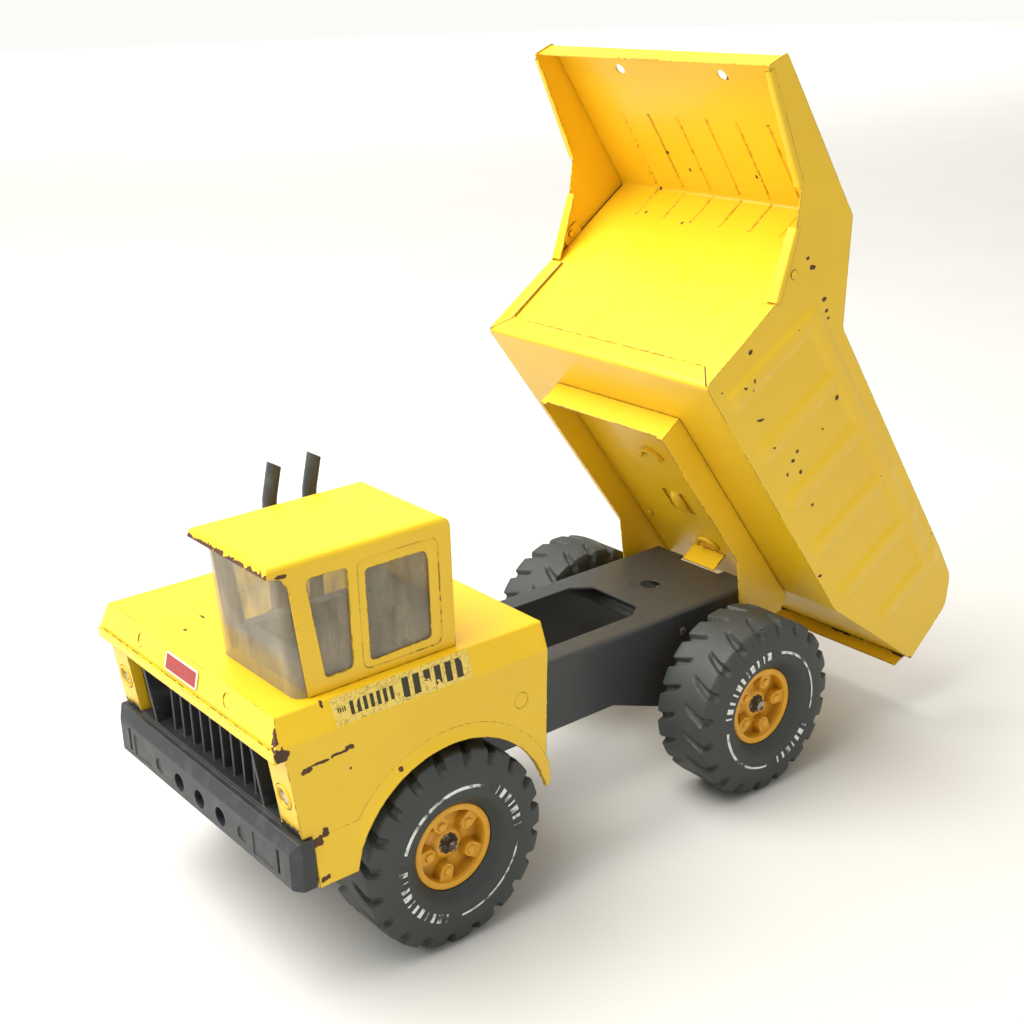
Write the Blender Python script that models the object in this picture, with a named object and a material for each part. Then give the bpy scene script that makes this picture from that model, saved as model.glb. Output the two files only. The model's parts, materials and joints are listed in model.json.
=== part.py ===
"""Pressed-steel toy dump truck, built as separate pieces in one frame.

The truck faces -Y, its left side is +X and +Z is up. The origin is on the ground,
half-way along the truck as it stands with its bed tipped up. Lengths are in
millimetres here and become metres when a mesh is made.
"""
import math

import bmesh
import bpy
from mathutils import Matrix, Vector

for old in list(bpy.data.objects):
    bpy.data.objects.remove(old)

# ---------------------------------------------------------------- driving dimensions
METRE = 0.001
GAP = 0.3                    # clearance between pieces that touch on the real toy
SHEET = 1.0                  # thickness of the pressed yellow steel
FRAME_SHEET = 1.4            # thickness of the black chassis steel
BODY_HALF = 96.6             # half the width of the hood and of the bed

# Wheels
TYRE_RADIUS = 56.0
TYRE_INNER_X = 60.1
TYRE_SHOULDER_X = 100.1
TYRE_BULGE = 3.0            # how far the sidewall stands out past the tread
HUB_RADIUS = 24.6
HUB_FACE_X = 95.5
HUB_DISH = 4.7              # depth of the hub's centre below its rim
REAR_AXLE_Y = 77.0
WHEELBASE = 235.2
FRONT_AXLE_Y = REAR_AXLE_Y - WHEELBASE
AXLE_RADIUS = 3.0
AXLE_END_X = 94.9

# Hood and fenders
HOOD_TOP_Z = 163.8
HOOD_CREASE_Z = 149.5
HOOD_BEVEL = 6.1
HOOD_FRONT_Y = -253.1
HOOD_REAR_Y = -91.8
LIP_Y = -258.4
LIP_Z = 143.2
FENDER_BOTTOM_Z = 69.7
ARCH_RADIUS = TYRE_RADIUS + 6.2
GRILLE_HALF = 77.3
HEADLIGHT_X = 86.5
HEADLIGHT_Z = 118.8
HEADLIGHT_RADIUS = 6.7
PANEL_LEAN = math.radians(7.0)   # lean of the headlight panels

# Cab
CAB_RIGHT_X = 8.0
CAB_LEFT_X = 84.6
CAB_ROOF_Z = HOOD_TOP_Z + 71.1
CAB_REAR_Y = -143.1
STACK_X = -12.6
STACK_RADIUS = 3.9
STACK_STATIONS = {"front": -189.7, "rear": -165.3}

# Chassis, which runs inside the pan
PAN_HALF = 54.6
CHASSIS_TOP_Z = 109.2
CHASSIS_HALF = PAN_HALF - 9.2
CHASSIS_FRONT_Y = -221.2
CHASSIS_REAR_Y = 124.1

# Bed, drawn flat in its own frame: b runs back along the floor and u runs up
# from the corner where the floor meets the headboard
TIP_ANGLE = math.radians(55.0)
PIVOT_Y = 106.4
PIVOT_Z = 91.6
PIVOT_B = 193.3
PIVOT_U = -33.9
FLOOR_KINK_B = 205.0
TAIL_B = 300.7
TAIL_U = 31.9
HEADBOARD_HEIGHT = 140.9
CANOPY_REACH = 107.5
RIB_COUNT = 6
RIB_PITCH = 44.5
PIN_RADIUS = 2.5

RUNNING = 0.08               # radial clearance of a pin or axle that turns in its hole
PIVOT = (0, PIVOT_Y, PIVOT_Z)

# Bed sheet: the folded-in rim, as places (b, u), and its rivets
RIM = [(280.6, 91.1), (253.7, 93.5), (53.3, 100.1)]
BED_RIVET_B = -3.2
BED_RIVET_U = 85.7

# Pan under the bed
PAN_FRONT_B = 37.8
PAN_REAR_B = 207.5
PAN_FLANGE = 17.6

# Bumper and grille
BUMPER_FRONT_Y = -253.9
BUMPER_BACK_Y = -242.2
BUMPER_BOTTOM_Z = 70.6
BUMPER_TOP_Z = 97.4
BUMPER_HALF = 98.7
BUMPER_HOLE_Z = 79.8
BUMPER_HOLE_PITCH = 23.0
FIN_COUNT = 9
FIN_PITCH = 11.1

# Plain badge on the hood's front
BADGE_HALF = 17.6            # half its width
BADGE_HIGH = 10.1
BADGE_THICK = 0.5
BADGE_FOOT = 5.5             # height of the sloping panel's foot above the lip

# Cab foot, brackets and rivets
CAB_BASE_Z = HOOD_TOP_Z + GAP
BRACKET_Y = -206.9
TIE_Y = 57.7
TIE_Z = 95.6
FOOT_RIVET_X = 23.5
FOOT_RIVET_Y = HOOD_REAR_Y - 8.0
RIVET_SHANK = 1.4
RIVET_HEAD = 2.9


# ---------------------------------------------------------------- materials
def enamel(name, colour, roughness=0.35, metallic=0.0):
    """Return a Principled material of one colour for a piece."""
    material = bpy.data.materials.new(name)
    material.use_nodes = True
    shader = material.node_tree.nodes["Principled BSDF"]
    shader.inputs["Base Color"].default_value = (*colour, 1.0)
    shader.inputs["Roughness"].default_value = roughness
    shader.inputs["Metallic"].default_value = metallic
    return material


YELLOW = (0.85, 0.58, 0.03)
BLACK = (0.02, 0.022, 0.025)
FRAME_BLACK = (0.015, 0.02, 0.018)
HUB_ORANGE = (0.80, 0.33, 0.02)
STEEL = (0.55, 0.54, 0.50)
SMOKE = (0.25, 0.24, 0.22)
GREY = (0.10, 0.11, 0.13)


# ---------------------------------------------------------------- mesh helpers
def from_bmesh(name, mesh_data):
    """Turn a bmesh in millimetres into an object in metres with outward faces."""
    bmesh.ops.recalc_face_normals(mesh_data, faces=mesh_data.faces)
    mesh = bpy.data.meshes.new(name)
    mesh_data.to_mesh(mesh)
    mesh_data.free()
    mesh.transform(Matrix.Scale(METRE, 4))
    obj = bpy.data.objects.new(name, mesh)
    bpy.context.scene.collection.objects.link(obj)
    return obj


def place(axis, along, first, second):
    """Return a point from its place along an axis and the two other coordinates."""
    if axis == "X":
        return Vector((along, first, second))
    if axis == "Y":
        return Vector((first, along, second))
    return Vector((first, second, along))


def prism(name, outline, axis, start, end):
    """Extrude a flat outline, given in the two other axes, from start to end."""
    mesh_data = bmesh.new()
    low = [mesh_data.verts.new(place(axis, start, *point)) for point in outline]
    high = [mesh_data.verts.new(place(axis, end, *point)) for point in outline]
    mesh_data.faces.new(low)
    mesh_data.faces.new(high[::-1])
    for index in range(len(outline)):
        after = (index + 1) % len(outline)
        mesh_data.faces.new((low[index], low[after], high[after], high[index]))
    return from_bmesh(name, mesh_data)


def box(name, low, high):
    """Return a box from its lowest corner to its highest."""
    outline = [(low[0], low[1]), (high[0], low[1]), (high[0], high[1]), (low[0], high[1])]
    return prism(name, outline, "Z", low[2], high[2])


def circle(centre, radius, count=24, turn=0.0):
    """Return the points of a circle as an outline."""
    steps = [turn + 2.0 * math.pi * index / count for index in range(count)]
    return [(centre[0] + radius * math.cos(a), centre[1] + radius * math.sin(a)) for a in steps]


def rounded(outline, radius, steps=4):
    """Round the corners of an outline; radius is one number or one for each corner."""
    radii = radius if isinstance(radius, (list, tuple)) else [radius] * len(outline)
    points = []
    for index, corner in enumerate(outline):
        here = Vector(corner)
        before = Vector(outline[index - 1]) - here
        after = Vector(outline[(index + 1) % len(outline)]) - here
        half = before.angle(after) / 2.0
        reach = radii[index] / math.tan(half) if radii[index] else 0.0
        reach = min(reach, before.length * 0.48, after.length * 0.48)
        if reach < 0.05:
            points.append(corner)
            continue
        first = here + before.normalized() * reach
        last = here + after.normalized() * reach
        for step in range(steps + 1):
            t = step / steps
            point = first * (1 - t) ** 2 + here * 2 * t * (1 - t) + last * t ** 2
            points.append((point.x, point.y))
    return points


def lathe(name, profile, centre, count=48):
    """Turn a closed (radius, x) profile about an axis along X through (y, z)."""
    mesh_data = bmesh.new()
    rings = []
    for radius, x in profile:
        if radius == 0:
            rings.append([mesh_data.verts.new((x, centre[0], centre[1]))])
            continue
        ring = []
        for y, z in circle(centre, radius, count):
            ring.append(mesh_data.verts.new((x, y, z)))
        rings.append(ring)
    for index, ring in enumerate(rings):
        after = rings[(index + 1) % len(rings)]
        for step in range(count):
            beside = (step + 1) % count
            if len(ring) == 1 and len(after) == 1:
                break
            if len(ring) == 1:
                mesh_data.faces.new((ring[0], after[beside], after[step]))
            elif len(after) == 1:
                mesh_data.faces.new((ring[step], ring[beside], after[0]))
            else:
                mesh_data.faces.new((ring[step], ring[beside], after[beside], after[step]))
    return from_bmesh(name, mesh_data)


def rod(name, radius, axis, start, end, centre, count=24):
    """Return a round bar along an axis, centred on the two other coordinates."""
    return prism(name, circle(centre, radius, count), axis, start, end)


def combine(target, others, operation):
    """Apply a Boolean of each other object to the target and remove the others."""
    for other in others:
        modifier = target.modifiers.new("boolean", "BOOLEAN")
        modifier.operation = operation
        modifier.solver = "EXACT"
        modifier.object = other
        depsgraph = bpy.context.evaluated_depsgraph_get()
        mesh = bpy.data.meshes.new_from_object(target.evaluated_get(depsgraph))
        target.modifiers.clear()
        target.data = mesh
        bpy.data.objects.remove(other)
    return target


def cut(target, *others):
    return combine(target, others, "DIFFERENCE")


def join(target, *others):
    return combine(target, others, "UNION")


def keep_common(target, *others):
    return combine(target, others, "INTERSECT")


def move(obj, matrix):
    """Move an object's mesh by a matrix written in millimetres."""
    scale = Matrix.Scale(METRE, 4)
    obj.data.transform(scale @ matrix @ scale.inverted())
    return obj


def finish(obj, name, material, smooth=0.0, origin=None, flip=False):
    """Name a piece, give it its material and put its origin on its joint axis."""
    if flip:
        obj.data.transform(Matrix.Scale(-1.0, 4, (1, 0, 0)))
        obj.data.flip_normals()
    tidy = bmesh.new()
    tidy.from_mesh(obj.data)
    bmesh.ops.remove_doubles(tidy, verts=tidy.verts, dist=1e-6)
    bmesh.ops.dissolve_degenerate(tidy, edges=tidy.edges, dist=1e-6)
    tidy.to_mesh(obj.data)
    tidy.free()
    obj.name = name
    obj.data.name = name
    obj.data.materials.clear()
    obj.data.materials.append(material)
    if origin is not None:
        point = Vector(origin) * METRE
        obj.data.transform(Matrix.Translation(-point))
        obj.location = point
    if smooth:
        obj.data.shade_smooth()
        obj.data.set_sharp_from_angle(angle=math.radians(smooth))
    return obj


# ---------------------------------------------------------------- hood and fenders
def hood_section(inset):
    """Return the hood's outline across the truck, drawn in by inset."""
    side = BODY_HALF - inset
    top = HOOD_TOP_Z - inset
    shoulder = side - HOOD_BEVEL
    bottom = FENDER_BOTTOM_Z - 16.8 if inset else FENDER_BOTTOM_Z - 1.7
    half = [(side, bottom), (side, HOOD_CREASE_Z - inset * 0.3), (shoulder, top)]
    left = [(-x, z) for x, z in half]
    return rounded(half + left[::-1], [0, 2.0, 1.6, 1.6, 2.0, 0], 3)


def hood_side(inset):
    """Return the hood's outline seen from the side, drawn in by inset."""
    lean = math.tan(PANEL_LEAN)
    panel_top = LIP_Y + 5.7
    panel_bottom = panel_top + (LIP_Z - FENDER_BOTTOM_Z) * lean
    front = [(HOOD_FRONT_Y + inset, HOOD_TOP_Z - inset)]
    front.append((LIP_Y + 1.3 + inset, LIP_Z + 5.5))
    if not inset:
        front.append((LIP_Y, LIP_Z + 4.9))
        front.append((LIP_Y, LIP_Z))
    front.append((panel_top + inset, LIP_Z))
    floor = FENDER_BOTTOM_Z - (16.8 if inset else 0)
    front.append((panel_bottom + inset, floor))
    rear_bottom = (HOOD_REAR_Y - 3.9 - inset, floor if inset else FENDER_BOTTOM_Z + 5.5)
    return front + [rear_bottom, (HOOD_REAR_Y - inset, HOOD_TOP_Z - inset)]


def make_front_body():
    shell = prism("hood", hood_section(0), "Y", LIP_Y - 5, HOOD_REAR_Y + 5)
    keep_common(shell, prism("side", hood_side(0), "X", -BODY_HALF - 5, BODY_HALF + 5))
    hollow = prism("hollow", hood_section(SHEET), "Y", LIP_Y - 5, HOOD_REAR_Y + 5)
    keep_common(hollow, prism("side", hood_side(SHEET), "X", -BODY_HALF - 5, BODY_HALF + 5))
    cut(shell, hollow)
    # The rolled lip around each wheel arch stands proud of the side
    lip_profile = [(ARCH_RADIUS, -BODY_HALF - 1.0), (ARCH_RADIUS + 3.6, -BODY_HALF - 1.0)]
    lip_profile += [(ARCH_RADIUS + 4.6, -BODY_HALF + 0.3), (ARCH_RADIUS, -BODY_HALF + 0.3)]
    arch_centre = (FRONT_AXLE_Y, TYRE_RADIUS)
    keep_y = (FRONT_AXLE_Y - ARCH_RADIUS - 4, HOOD_REAR_Y - 3.9)
    for side in (-1, 1):
        profile = [(radius, x * side) for radius, x in lip_profile]
        lip = lathe("lip", profile, arch_centre, 52)
        low_x, high_x = sorted((side * (BODY_HALF + 3), side * (BODY_HALF - 3)))
        keep_common(lip, box("zone", (low_x, keep_y[0], FENDER_BOTTOM_Z), (high_x, keep_y[1], HOOD_TOP_Z)))
        join(shell, lip)
    cut(shell, rod("arch", ARCH_RADIUS, "X", -BODY_HALF - 9, BODY_HALF + 9, arch_centre, 52))
    # Grille opening, with a turned-in return on each side of it
    opening_top = LIP_Z - 1.0
    cut(shell, box("grille", (-GRILLE_HALF, LIP_Y - 9, 0), (GRILLE_HALF, LIP_Y + 26, opening_top)))
    for side in (-1, 1):
        low_x, high_x = sorted((side * GRILLE_HALF, side * (GRILLE_HALF + SHEET)))
        panel_y = LIP_Y + 6.0
        outline = [(panel_y, LIP_Z), (panel_y + 5.0, HEADLIGHT_Z - 19.3)]
        outline += [(panel_y + 10.9, HEADLIGHT_Z - 19.3), (panel_y + 6.7, LIP_Z)]
        join(shell, prism("return", outline, "X", low_x, high_x))
    # The bumper fills the space below the headlight panels
    notch_top = BUMPER_TOP_Z + GAP + 0.5
    cut(shell, box("notch", (-BODY_HALF - 9, LIP_Y - 9, 0), (BODY_HALF + 9, BUMPER_BACK_Y + GAP, notch_top)))
    for side in (-1, 1):
        lamp = rod("lamp", HEADLIGHT_RADIUS + GAP, "Y", -11.8, 11.8, (0, 0), 32)
        move(lamp, headlight_place(side))
        cut(shell, lamp)
    # Rear wall stands on the chassis and is riveted to it by a turned-in foot
    wall_bottom = CHASSIS_TOP_Z + GAP
    low = (-BODY_HALF + SHEET, HOOD_REAR_Y - 9, 0)
    cut(shell, box("open", low, (BODY_HALF - SHEET, HOOD_REAR_Y + 9, wall_bottom)))
    low = (-33.6, HOOD_REAR_Y - 14.3, wall_bottom)
    foot = box("foot", low, (33.6, HOOD_REAR_Y - 1.3, wall_bottom + SHEET))
    join(shell, foot)
    for x in (-FOOT_RIVET_X, FOOT_RIVET_X):
        centre = (x, FOOT_RIVET_Y)
        cut(shell, rod("hole", RIVET_SHANK + GAP / 2, "Z", CHASSIS_TOP_Z - 5, CHASSIS_TOP_Z + 5, centre, 12))
    # Shallow round dimples where the presses locate the sheet
    slope = math.atan2(4.0, 15.1)
    for x in (-47.0, 47.0):
        dimple = rod("dimple", 3.9, "Y", -0.45, 16.8, (0, 0), 24)
        matrix = Matrix.Translation((x, HOOD_FRONT_Y - 1.8, HOOD_TOP_Z - 7.0))
        move(dimple, matrix @ Matrix.Rotation(-slope, 4, "X") @ Matrix.Rotation(math.pi, 4, "X"))
        cut(shell, dimple)
    for side in (-1, 1):
        start, end = sorted((side * (BODY_HALF - 0.45), side * (BODY_HALF + 5)))
        cut(shell, rod("dimple", 4.6, "X", start, end, (-111.1, 126.0), 24))
    # Holes for the stacks' spigots
    for y in STACK_STATIONS.values():
        radius = STACK_RADIUS * 0.7 + GAP
        cut(shell, rod("hole", radius, "Z", HOOD_TOP_Z - 5, HOOD_TOP_Z + 5, (STACK_X, y), 20))
    return finish(shell, "front_body", enamel("front_body", YELLOW), 30)


def headlight_place(side):
    """Return the matrix that stands a lamp on its leaning panel."""
    drop = LIP_Z - HEADLIGHT_Z
    y = LIP_Y + 5.7 + drop * math.tan(PANEL_LEAN)
    return Matrix.Translation((side * HEADLIGHT_X, y, HEADLIGHT_Z)) @ Matrix.Rotation(PANEL_LEAN, 4, "X")


def make_headlight(side, name):
    """A domed bezel pressed through its panel, with a bead in front and a plain back."""
    lamp = rod(name, HEADLIGHT_RADIUS, "Y", -0.7, 2.6, (0, 0), 24)
    cut(lamp, rod("bowl", HEADLIGHT_RADIUS * 0.72, "Y", -3, 0.4, (0, 0), 24))
    join(lamp, rod("bulb", HEADLIGHT_RADIUS * 0.34, "Y", -0.5, 1.0, (0, 0), 12))
    move(lamp, headlight_place(side))
    return finish(lamp, name, enamel(name, STEEL, 0.3, 1.0), 30)


# ---------------------------------------------------------------- bumper and grille
def make_grille_bumper():
    section = [(BUMPER_FRONT_Y, BUMPER_BOTTOM_Z), (BUMPER_FRONT_Y, BUMPER_TOP_Z - 6.7)]
    section += [(BUMPER_FRONT_Y + 3.4, BUMPER_TOP_Z), (BUMPER_BACK_Y, BUMPER_TOP_Z)]
    section += [(BUMPER_BACK_Y, BUMPER_BOTTOM_Z)]
    section = rounded(section, [1.5, 2.5, 1.5, 0.8, 0.8], 3)
    bar = prism("bar", section, "X", -BUMPER_HALF, BUMPER_HALF)
    plan = [(-BUMPER_HALF, BUMPER_BACK_Y + 5), (-BUMPER_HALF, BUMPER_FRONT_Y + 4.2)]
    plan += [(-BUMPER_HALF + 5.9, BUMPER_FRONT_Y - 0.5), (BUMPER_HALF - 5.9, BUMPER_FRONT_Y - 0.5)]
    plan += [(BUMPER_HALF, BUMPER_FRONT_Y + 4.2), (BUMPER_HALF, BUMPER_BACK_Y + 5)]
    keep_common(bar, prism("plan", rounded(plan, 1.5, 2), "Z", 0, 168.0))
    # The moulding is hollow from behind, each side of the middle
    for side in (-1, 1):
        low_x, high_x = sorted((side * 33.6, side * (BUMPER_HALF - 4)))
        low = (low_x, BUMPER_BACK_Y - 7.6, BUMPER_BOTTOM_Z + 3)
        cut(bar, box("pocket", low, (high_x, BUMPER_BACK_Y + 3, BUMPER_TOP_Z - 4)))
    # Shelf and grille box behind the bumper
    inside = GRILLE_HALF - GAP - 0.2
    shelf_top = BUMPER_TOP_Z + 2.2
    back_y = -230.4
    box_top = LIP_Z - 1.7
    shelf = box("shelf", (-inside, BUMPER_BACK_Y - 5.0, BUMPER_TOP_Z - 2.5), (inside, back_y + 2, shelf_top))
    join(bar, shelf)
    join(bar, box("back", (-inside, back_y, BUMPER_TOP_Z - 2.5), (inside, back_y + 2, box_top)))
    lean = math.tan(PANEL_LEAN)
    wall_front = -251.8
    wall = [(wall_front, box_top), (back_y + 1, box_top), (back_y + 1, shelf_top - 1)]
    wall += [(wall_front + (box_top - shelf_top) * lean, shelf_top - 1)]
    for side in (-1, 1):
        low_x, high_x = sorted((side * 58.0, side * 60.0))
        join(bar, prism("wall", wall, "X", low_x, high_x))
    for index in range(FIN_COUNT):
        x = (index - (FIN_COUNT - 1) / 2) * FIN_PITCH
        fin = [(x - 1.7, back_y + 1), (x - 0.9, -243.0), (x + 0.9, -243.0), (x + 1.7, back_y + 1)]
        join(bar, prism("fin", fin, "Z", shelf_top - 1, box_top))
    # Holes, round recesses, end slots and the pressed rectangles on the bar's face
    for index in (-1, 0, 1):
        hole = (index * BUMPER_HOLE_PITCH, BUMPER_HOLE_Z)
        cut(bar, rod("hole", 5.3, "Y", BUMPER_FRONT_Y - 5, BUMPER_BACK_Y + 5, hole, 20))
    face = (BUMPER_FRONT_Y - 3, BUMPER_FRONT_Y + 0.8)
    for side in (-1, 1):
        cut(bar, rod("recess", 4.7, "Y", *face, (side * 2 * BUMPER_HOLE_PITCH, BUMPER_HOLE_Z), 18))
        low_x, high_x = sorted((side * 57.1, side * 77.3))
        cut(bar, box("panel", (low_x, face[0], 73.9), (high_x, face[1] - 0.3, 87.4)))
        low_x, high_x = sorted((side * 81.1, side * 83.6))
        cut(bar, box("slot", (low_x, face[0], 74.8), (high_x, face[1] + 0.8, 89.0)))
    return finish(bar, "grille_bumper", enamel("grille_bumper", BLACK, 0.45), 30)


# ---------------------------------------------------------------- cab
def make_cab_shell():
    base = CAB_BASE_Z
    lip_y = -247.8
    outline = [(-230.4, CAB_BASE_Z), (-236.3, base + 57.7), (-239.7, base + 64.0), (lip_y, base + 65.9)]
    outline += [(lip_y + 1.7, CAB_ROOF_Z), (CAB_REAR_Y, CAB_ROOF_Z), (CAB_REAR_Y, CAB_BASE_Z)]
    outline = rounded(outline, [0, 6, 4, 0, 1.5, 6, 0], 4)
    shell = prism("cab", outline, "X", CAB_RIGHT_X, CAB_LEFT_X)
    across = [(CAB_RIGHT_X, 0), (CAB_LEFT_X, 0), (CAB_LEFT_X, CAB_ROOF_Z), (CAB_RIGHT_X, CAB_ROOF_Z)]
    keep_common(shell, prism("across", rounded(across, [0, 0, 4, 4]), "Y", lip_y - 9, CAB_REAR_Y + 9))
    hollow = [(lip_y - 9, 0), (lip_y - 9, base + 65.6), (lip_y + 1.3, base + 65.6)]
    hollow += [(lip_y + 2.7, CAB_ROOF_Z - SHEET), (CAB_REAR_Y - SHEET, CAB_ROOF_Z - SHEET)]
    hollow += [(CAB_REAR_Y - SHEET, 0)]
    hollow = rounded(hollow, [0, 0, 0, 0, 5, 0], 4)
    inner = prism("inner", hollow, "X", CAB_RIGHT_X + SHEET, CAB_LEFT_X - SHEET)
    across = [(CAB_RIGHT_X + SHEET, -9), (CAB_LEFT_X - SHEET, -9)]
    across += [(CAB_LEFT_X - SHEET, CAB_ROOF_Z - SHEET), (CAB_RIGHT_X + SHEET, CAB_ROOF_Z - SHEET)]
    keep_common(inner, prism("across", rounded(across, [0, 0, 3, 3]), "Y", lip_y - 15, CAB_REAR_Y + 9))
    cut(shell, inner)
    # A front quarter window and a rear window on each side
    quarter = [(-227.3, base + 60.4), (-204.0, base + 60.4), (-204.0, base + 7.3), (-220.3, base + 7.3)]
    rear = [(-194.0, base + 56.4), (-157.3, base + 56.4), (-157.3, base + 8.9), (-194.0, base + 7.5)]
    for window, radius in ((quarter, 3.0), (rear, [3, 5, 3, 3])):
        cut(shell, prism("window", rounded(window, radius, 4), "X", CAB_RIGHT_X - 5, CAB_LEFT_X + 5))
    # The sheet is pressed in a little around the rear window
    frame = [(-198.5, base + 61.9), (-151.0, base + 61.9), (-151.0, base + 4.3), (-198.5, base + 4.3)]
    for outer_x, depth in ((CAB_LEFT_X, -0.45), (CAB_RIGHT_X, 0.45)):
        start, end = sorted((outer_x + depth, outer_x - depth * 9))
        cut(shell, prism("frame", rounded(frame, 5, 4), "X", start, end))
    return finish(shell, "cab_shell", enamel("cab_shell", YELLOW), 30)


def make_window_insert():
    """A clear moulding that wraps inside the windows, open behind, leaning forward."""
    low_x = CAB_RIGHT_X + SHEET + GAP
    high_x = CAB_LEFT_X - SHEET - GAP
    front = -236.7
    rear = CAB_REAR_Y - SHEET - GAP - 1
    wall = 1.2
    outer = [(low_x, rear), (low_x, front), (high_x, front), (high_x, rear)]
    inner = [(x + (wall if x == low_x else -wall), y if y == rear else front + wall) for x, y in outer]
    outer_line = rounded(outer, [0, 7, 7, 0], 6)
    inner_line = rounded(inner, [0, 7 - wall, 7 - wall, 0], 6)
    base = CAB_BASE_Z
    top = CAB_ROOF_Z - SHEET - GAP
    insert = prism("insert", outer_line + inner_line[::-1], "Z", base, top)
    lean = 4.2 / (top - base)
    for vertex in insert.data.vertices:
        share = min(1.0, max(0.0, (front / 1000 + 0.012 - vertex.co.y) / 0.012))
        vertex.co.y -= share * lean * (vertex.co.z - base * METRE)
    # The top follows the rounded corners of the roof
    across = [(low_x, 0), (high_x, 0), (high_x, top), (low_x, top)]
    keep_common(insert, prism("across", rounded(across, [0, 0, 3, 3]), "Y", front - 20, rear + 5))
    along = [(front - 20, 0), (rear, 0), (rear, top), (front - 20, top)]
    keep_common(insert, prism("along", rounded(along, [0, 0, 7, 0]), "X", low_x - 5, high_x + 5))
    return finish(insert, "window_insert", enamel("window_insert", SMOKE, 0.1), 30)


def make_cab_interior():
    """The dark tray that shows through the windows, with a bench and a side ledge."""
    base = CAB_BASE_Z
    low_x = CAB_RIGHT_X + SHEET + 2 * GAP + 1.5
    high_x = CAB_LEFT_X - SHEET - 2 * GAP - 1.5
    rear = CAB_REAR_Y - SHEET - GAP - 0.5
    front = -228.7
    tray = box("tray", (low_x, front, CAB_BASE_Z), (high_x, rear, base + 2))
    bench = [(rear - 21.8, base + 1), (rear - 21.8, base + 8.9), (rear - 5.9, base + 11.5)]
    bench += [(rear - 3.4, base + 24.1), (rear, base + 24.1), (rear, base + 1)]
    join(tray, prism("bench", rounded(bench, [0, 2, 1, 1, 1, 0], 3), "X", low_x, high_x))
    join(tray, box("ledge", (low_x, front + 5, base + 1), (low_x + 7.6, rear - 2, base + 14.0)))
    dash = [(front, base + 1), (front, base + 13.1), (front + 6.7, base + 14.8), (front + 11.8, base + 1)]
    join(tray, prism("dash", rounded(dash, [0, 1, 1, 0], 3), "X", low_x + 3, high_x))
    return finish(tray, "cab_interior", enamel("cab_interior", GREY, 0.6), 30)


def make_stack(station, y):
    """A bent pipe with a slanted mouth; its spigot drops through the hood."""
    bend_z = CAB_BASE_Z + 64.4
    top_z = CAB_BASE_Z + 86.2
    lean = math.radians(14.0)
    centres = [(y, HOOD_TOP_Z + GAP, 0.0), (y, bend_z - 3, 0.0), (y + 0.4, bend_z + 1, lean / 2)]
    centres += [(y + 1.3, bend_z + 5, lean)]
    run = top_z + 6 - (bend_z + 5)
    centres.append((y + 1.3 + run * math.tan(lean), top_z + 6, lean))
    mesh_data = bmesh.new()
    rings = []
    for centre_y, z, tilt in centres:
        ring = []
        for across, along in circle((0, 0), STACK_RADIUS, 20):
            height = z - along * math.sin(tilt)
            ring.append(mesh_data.verts.new((STACK_X + across, centre_y + along * math.cos(tilt), height)))
        rings.append(ring)
    mesh_data.faces.new(rings[0])
    mesh_data.faces.new(rings[-1][::-1])
    for low, high in zip(rings, rings[1:]):
        for step in range(20):
            beside = (step + 1) % 20
            mesh_data.faces.new((low[step], low[beside], high[beside], high[step]))
    pipe = from_bmesh("pipe", mesh_data)
    foot = HOOD_TOP_Z + GAP
    join(pipe, rod("collar", STACK_RADIUS + 1.6, "Z", foot, foot + 1.6, (STACK_X, y), 24))
    join(pipe, rod("spigot", STACK_RADIUS * 0.7, "Z", HOOD_TOP_Z - 5, HOOD_TOP_Z + 2, (STACK_X, y), 20))
    # The mouth is cut on a slant and bored
    mouth_y = y + 1.3 + (top_z - bend_z - 5) * math.tan(lean)
    slant = box("slant", (-20, -20, 0), (20, 20, 30))
    tilt = Matrix.Translation((STACK_X, mouth_y, top_z - 3)) @ Matrix.Rotation(math.radians(-32), 4, "X")
    cut(pipe, move(slant, tilt))
    bore = rod("bore", STACK_RADIUS - 1.1, "Z", -7, 12, (0, 0), 20)
    tilt = Matrix.Translation((STACK_X, mouth_y, top_z - 3)) @ Matrix.Rotation(-lean, 4, "X")
    cut(pipe, move(bore, tilt))
    name = "exhaust_stack_" + station
    return finish(pipe, name, enamel(name, BLACK, 0.5), 35)


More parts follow.
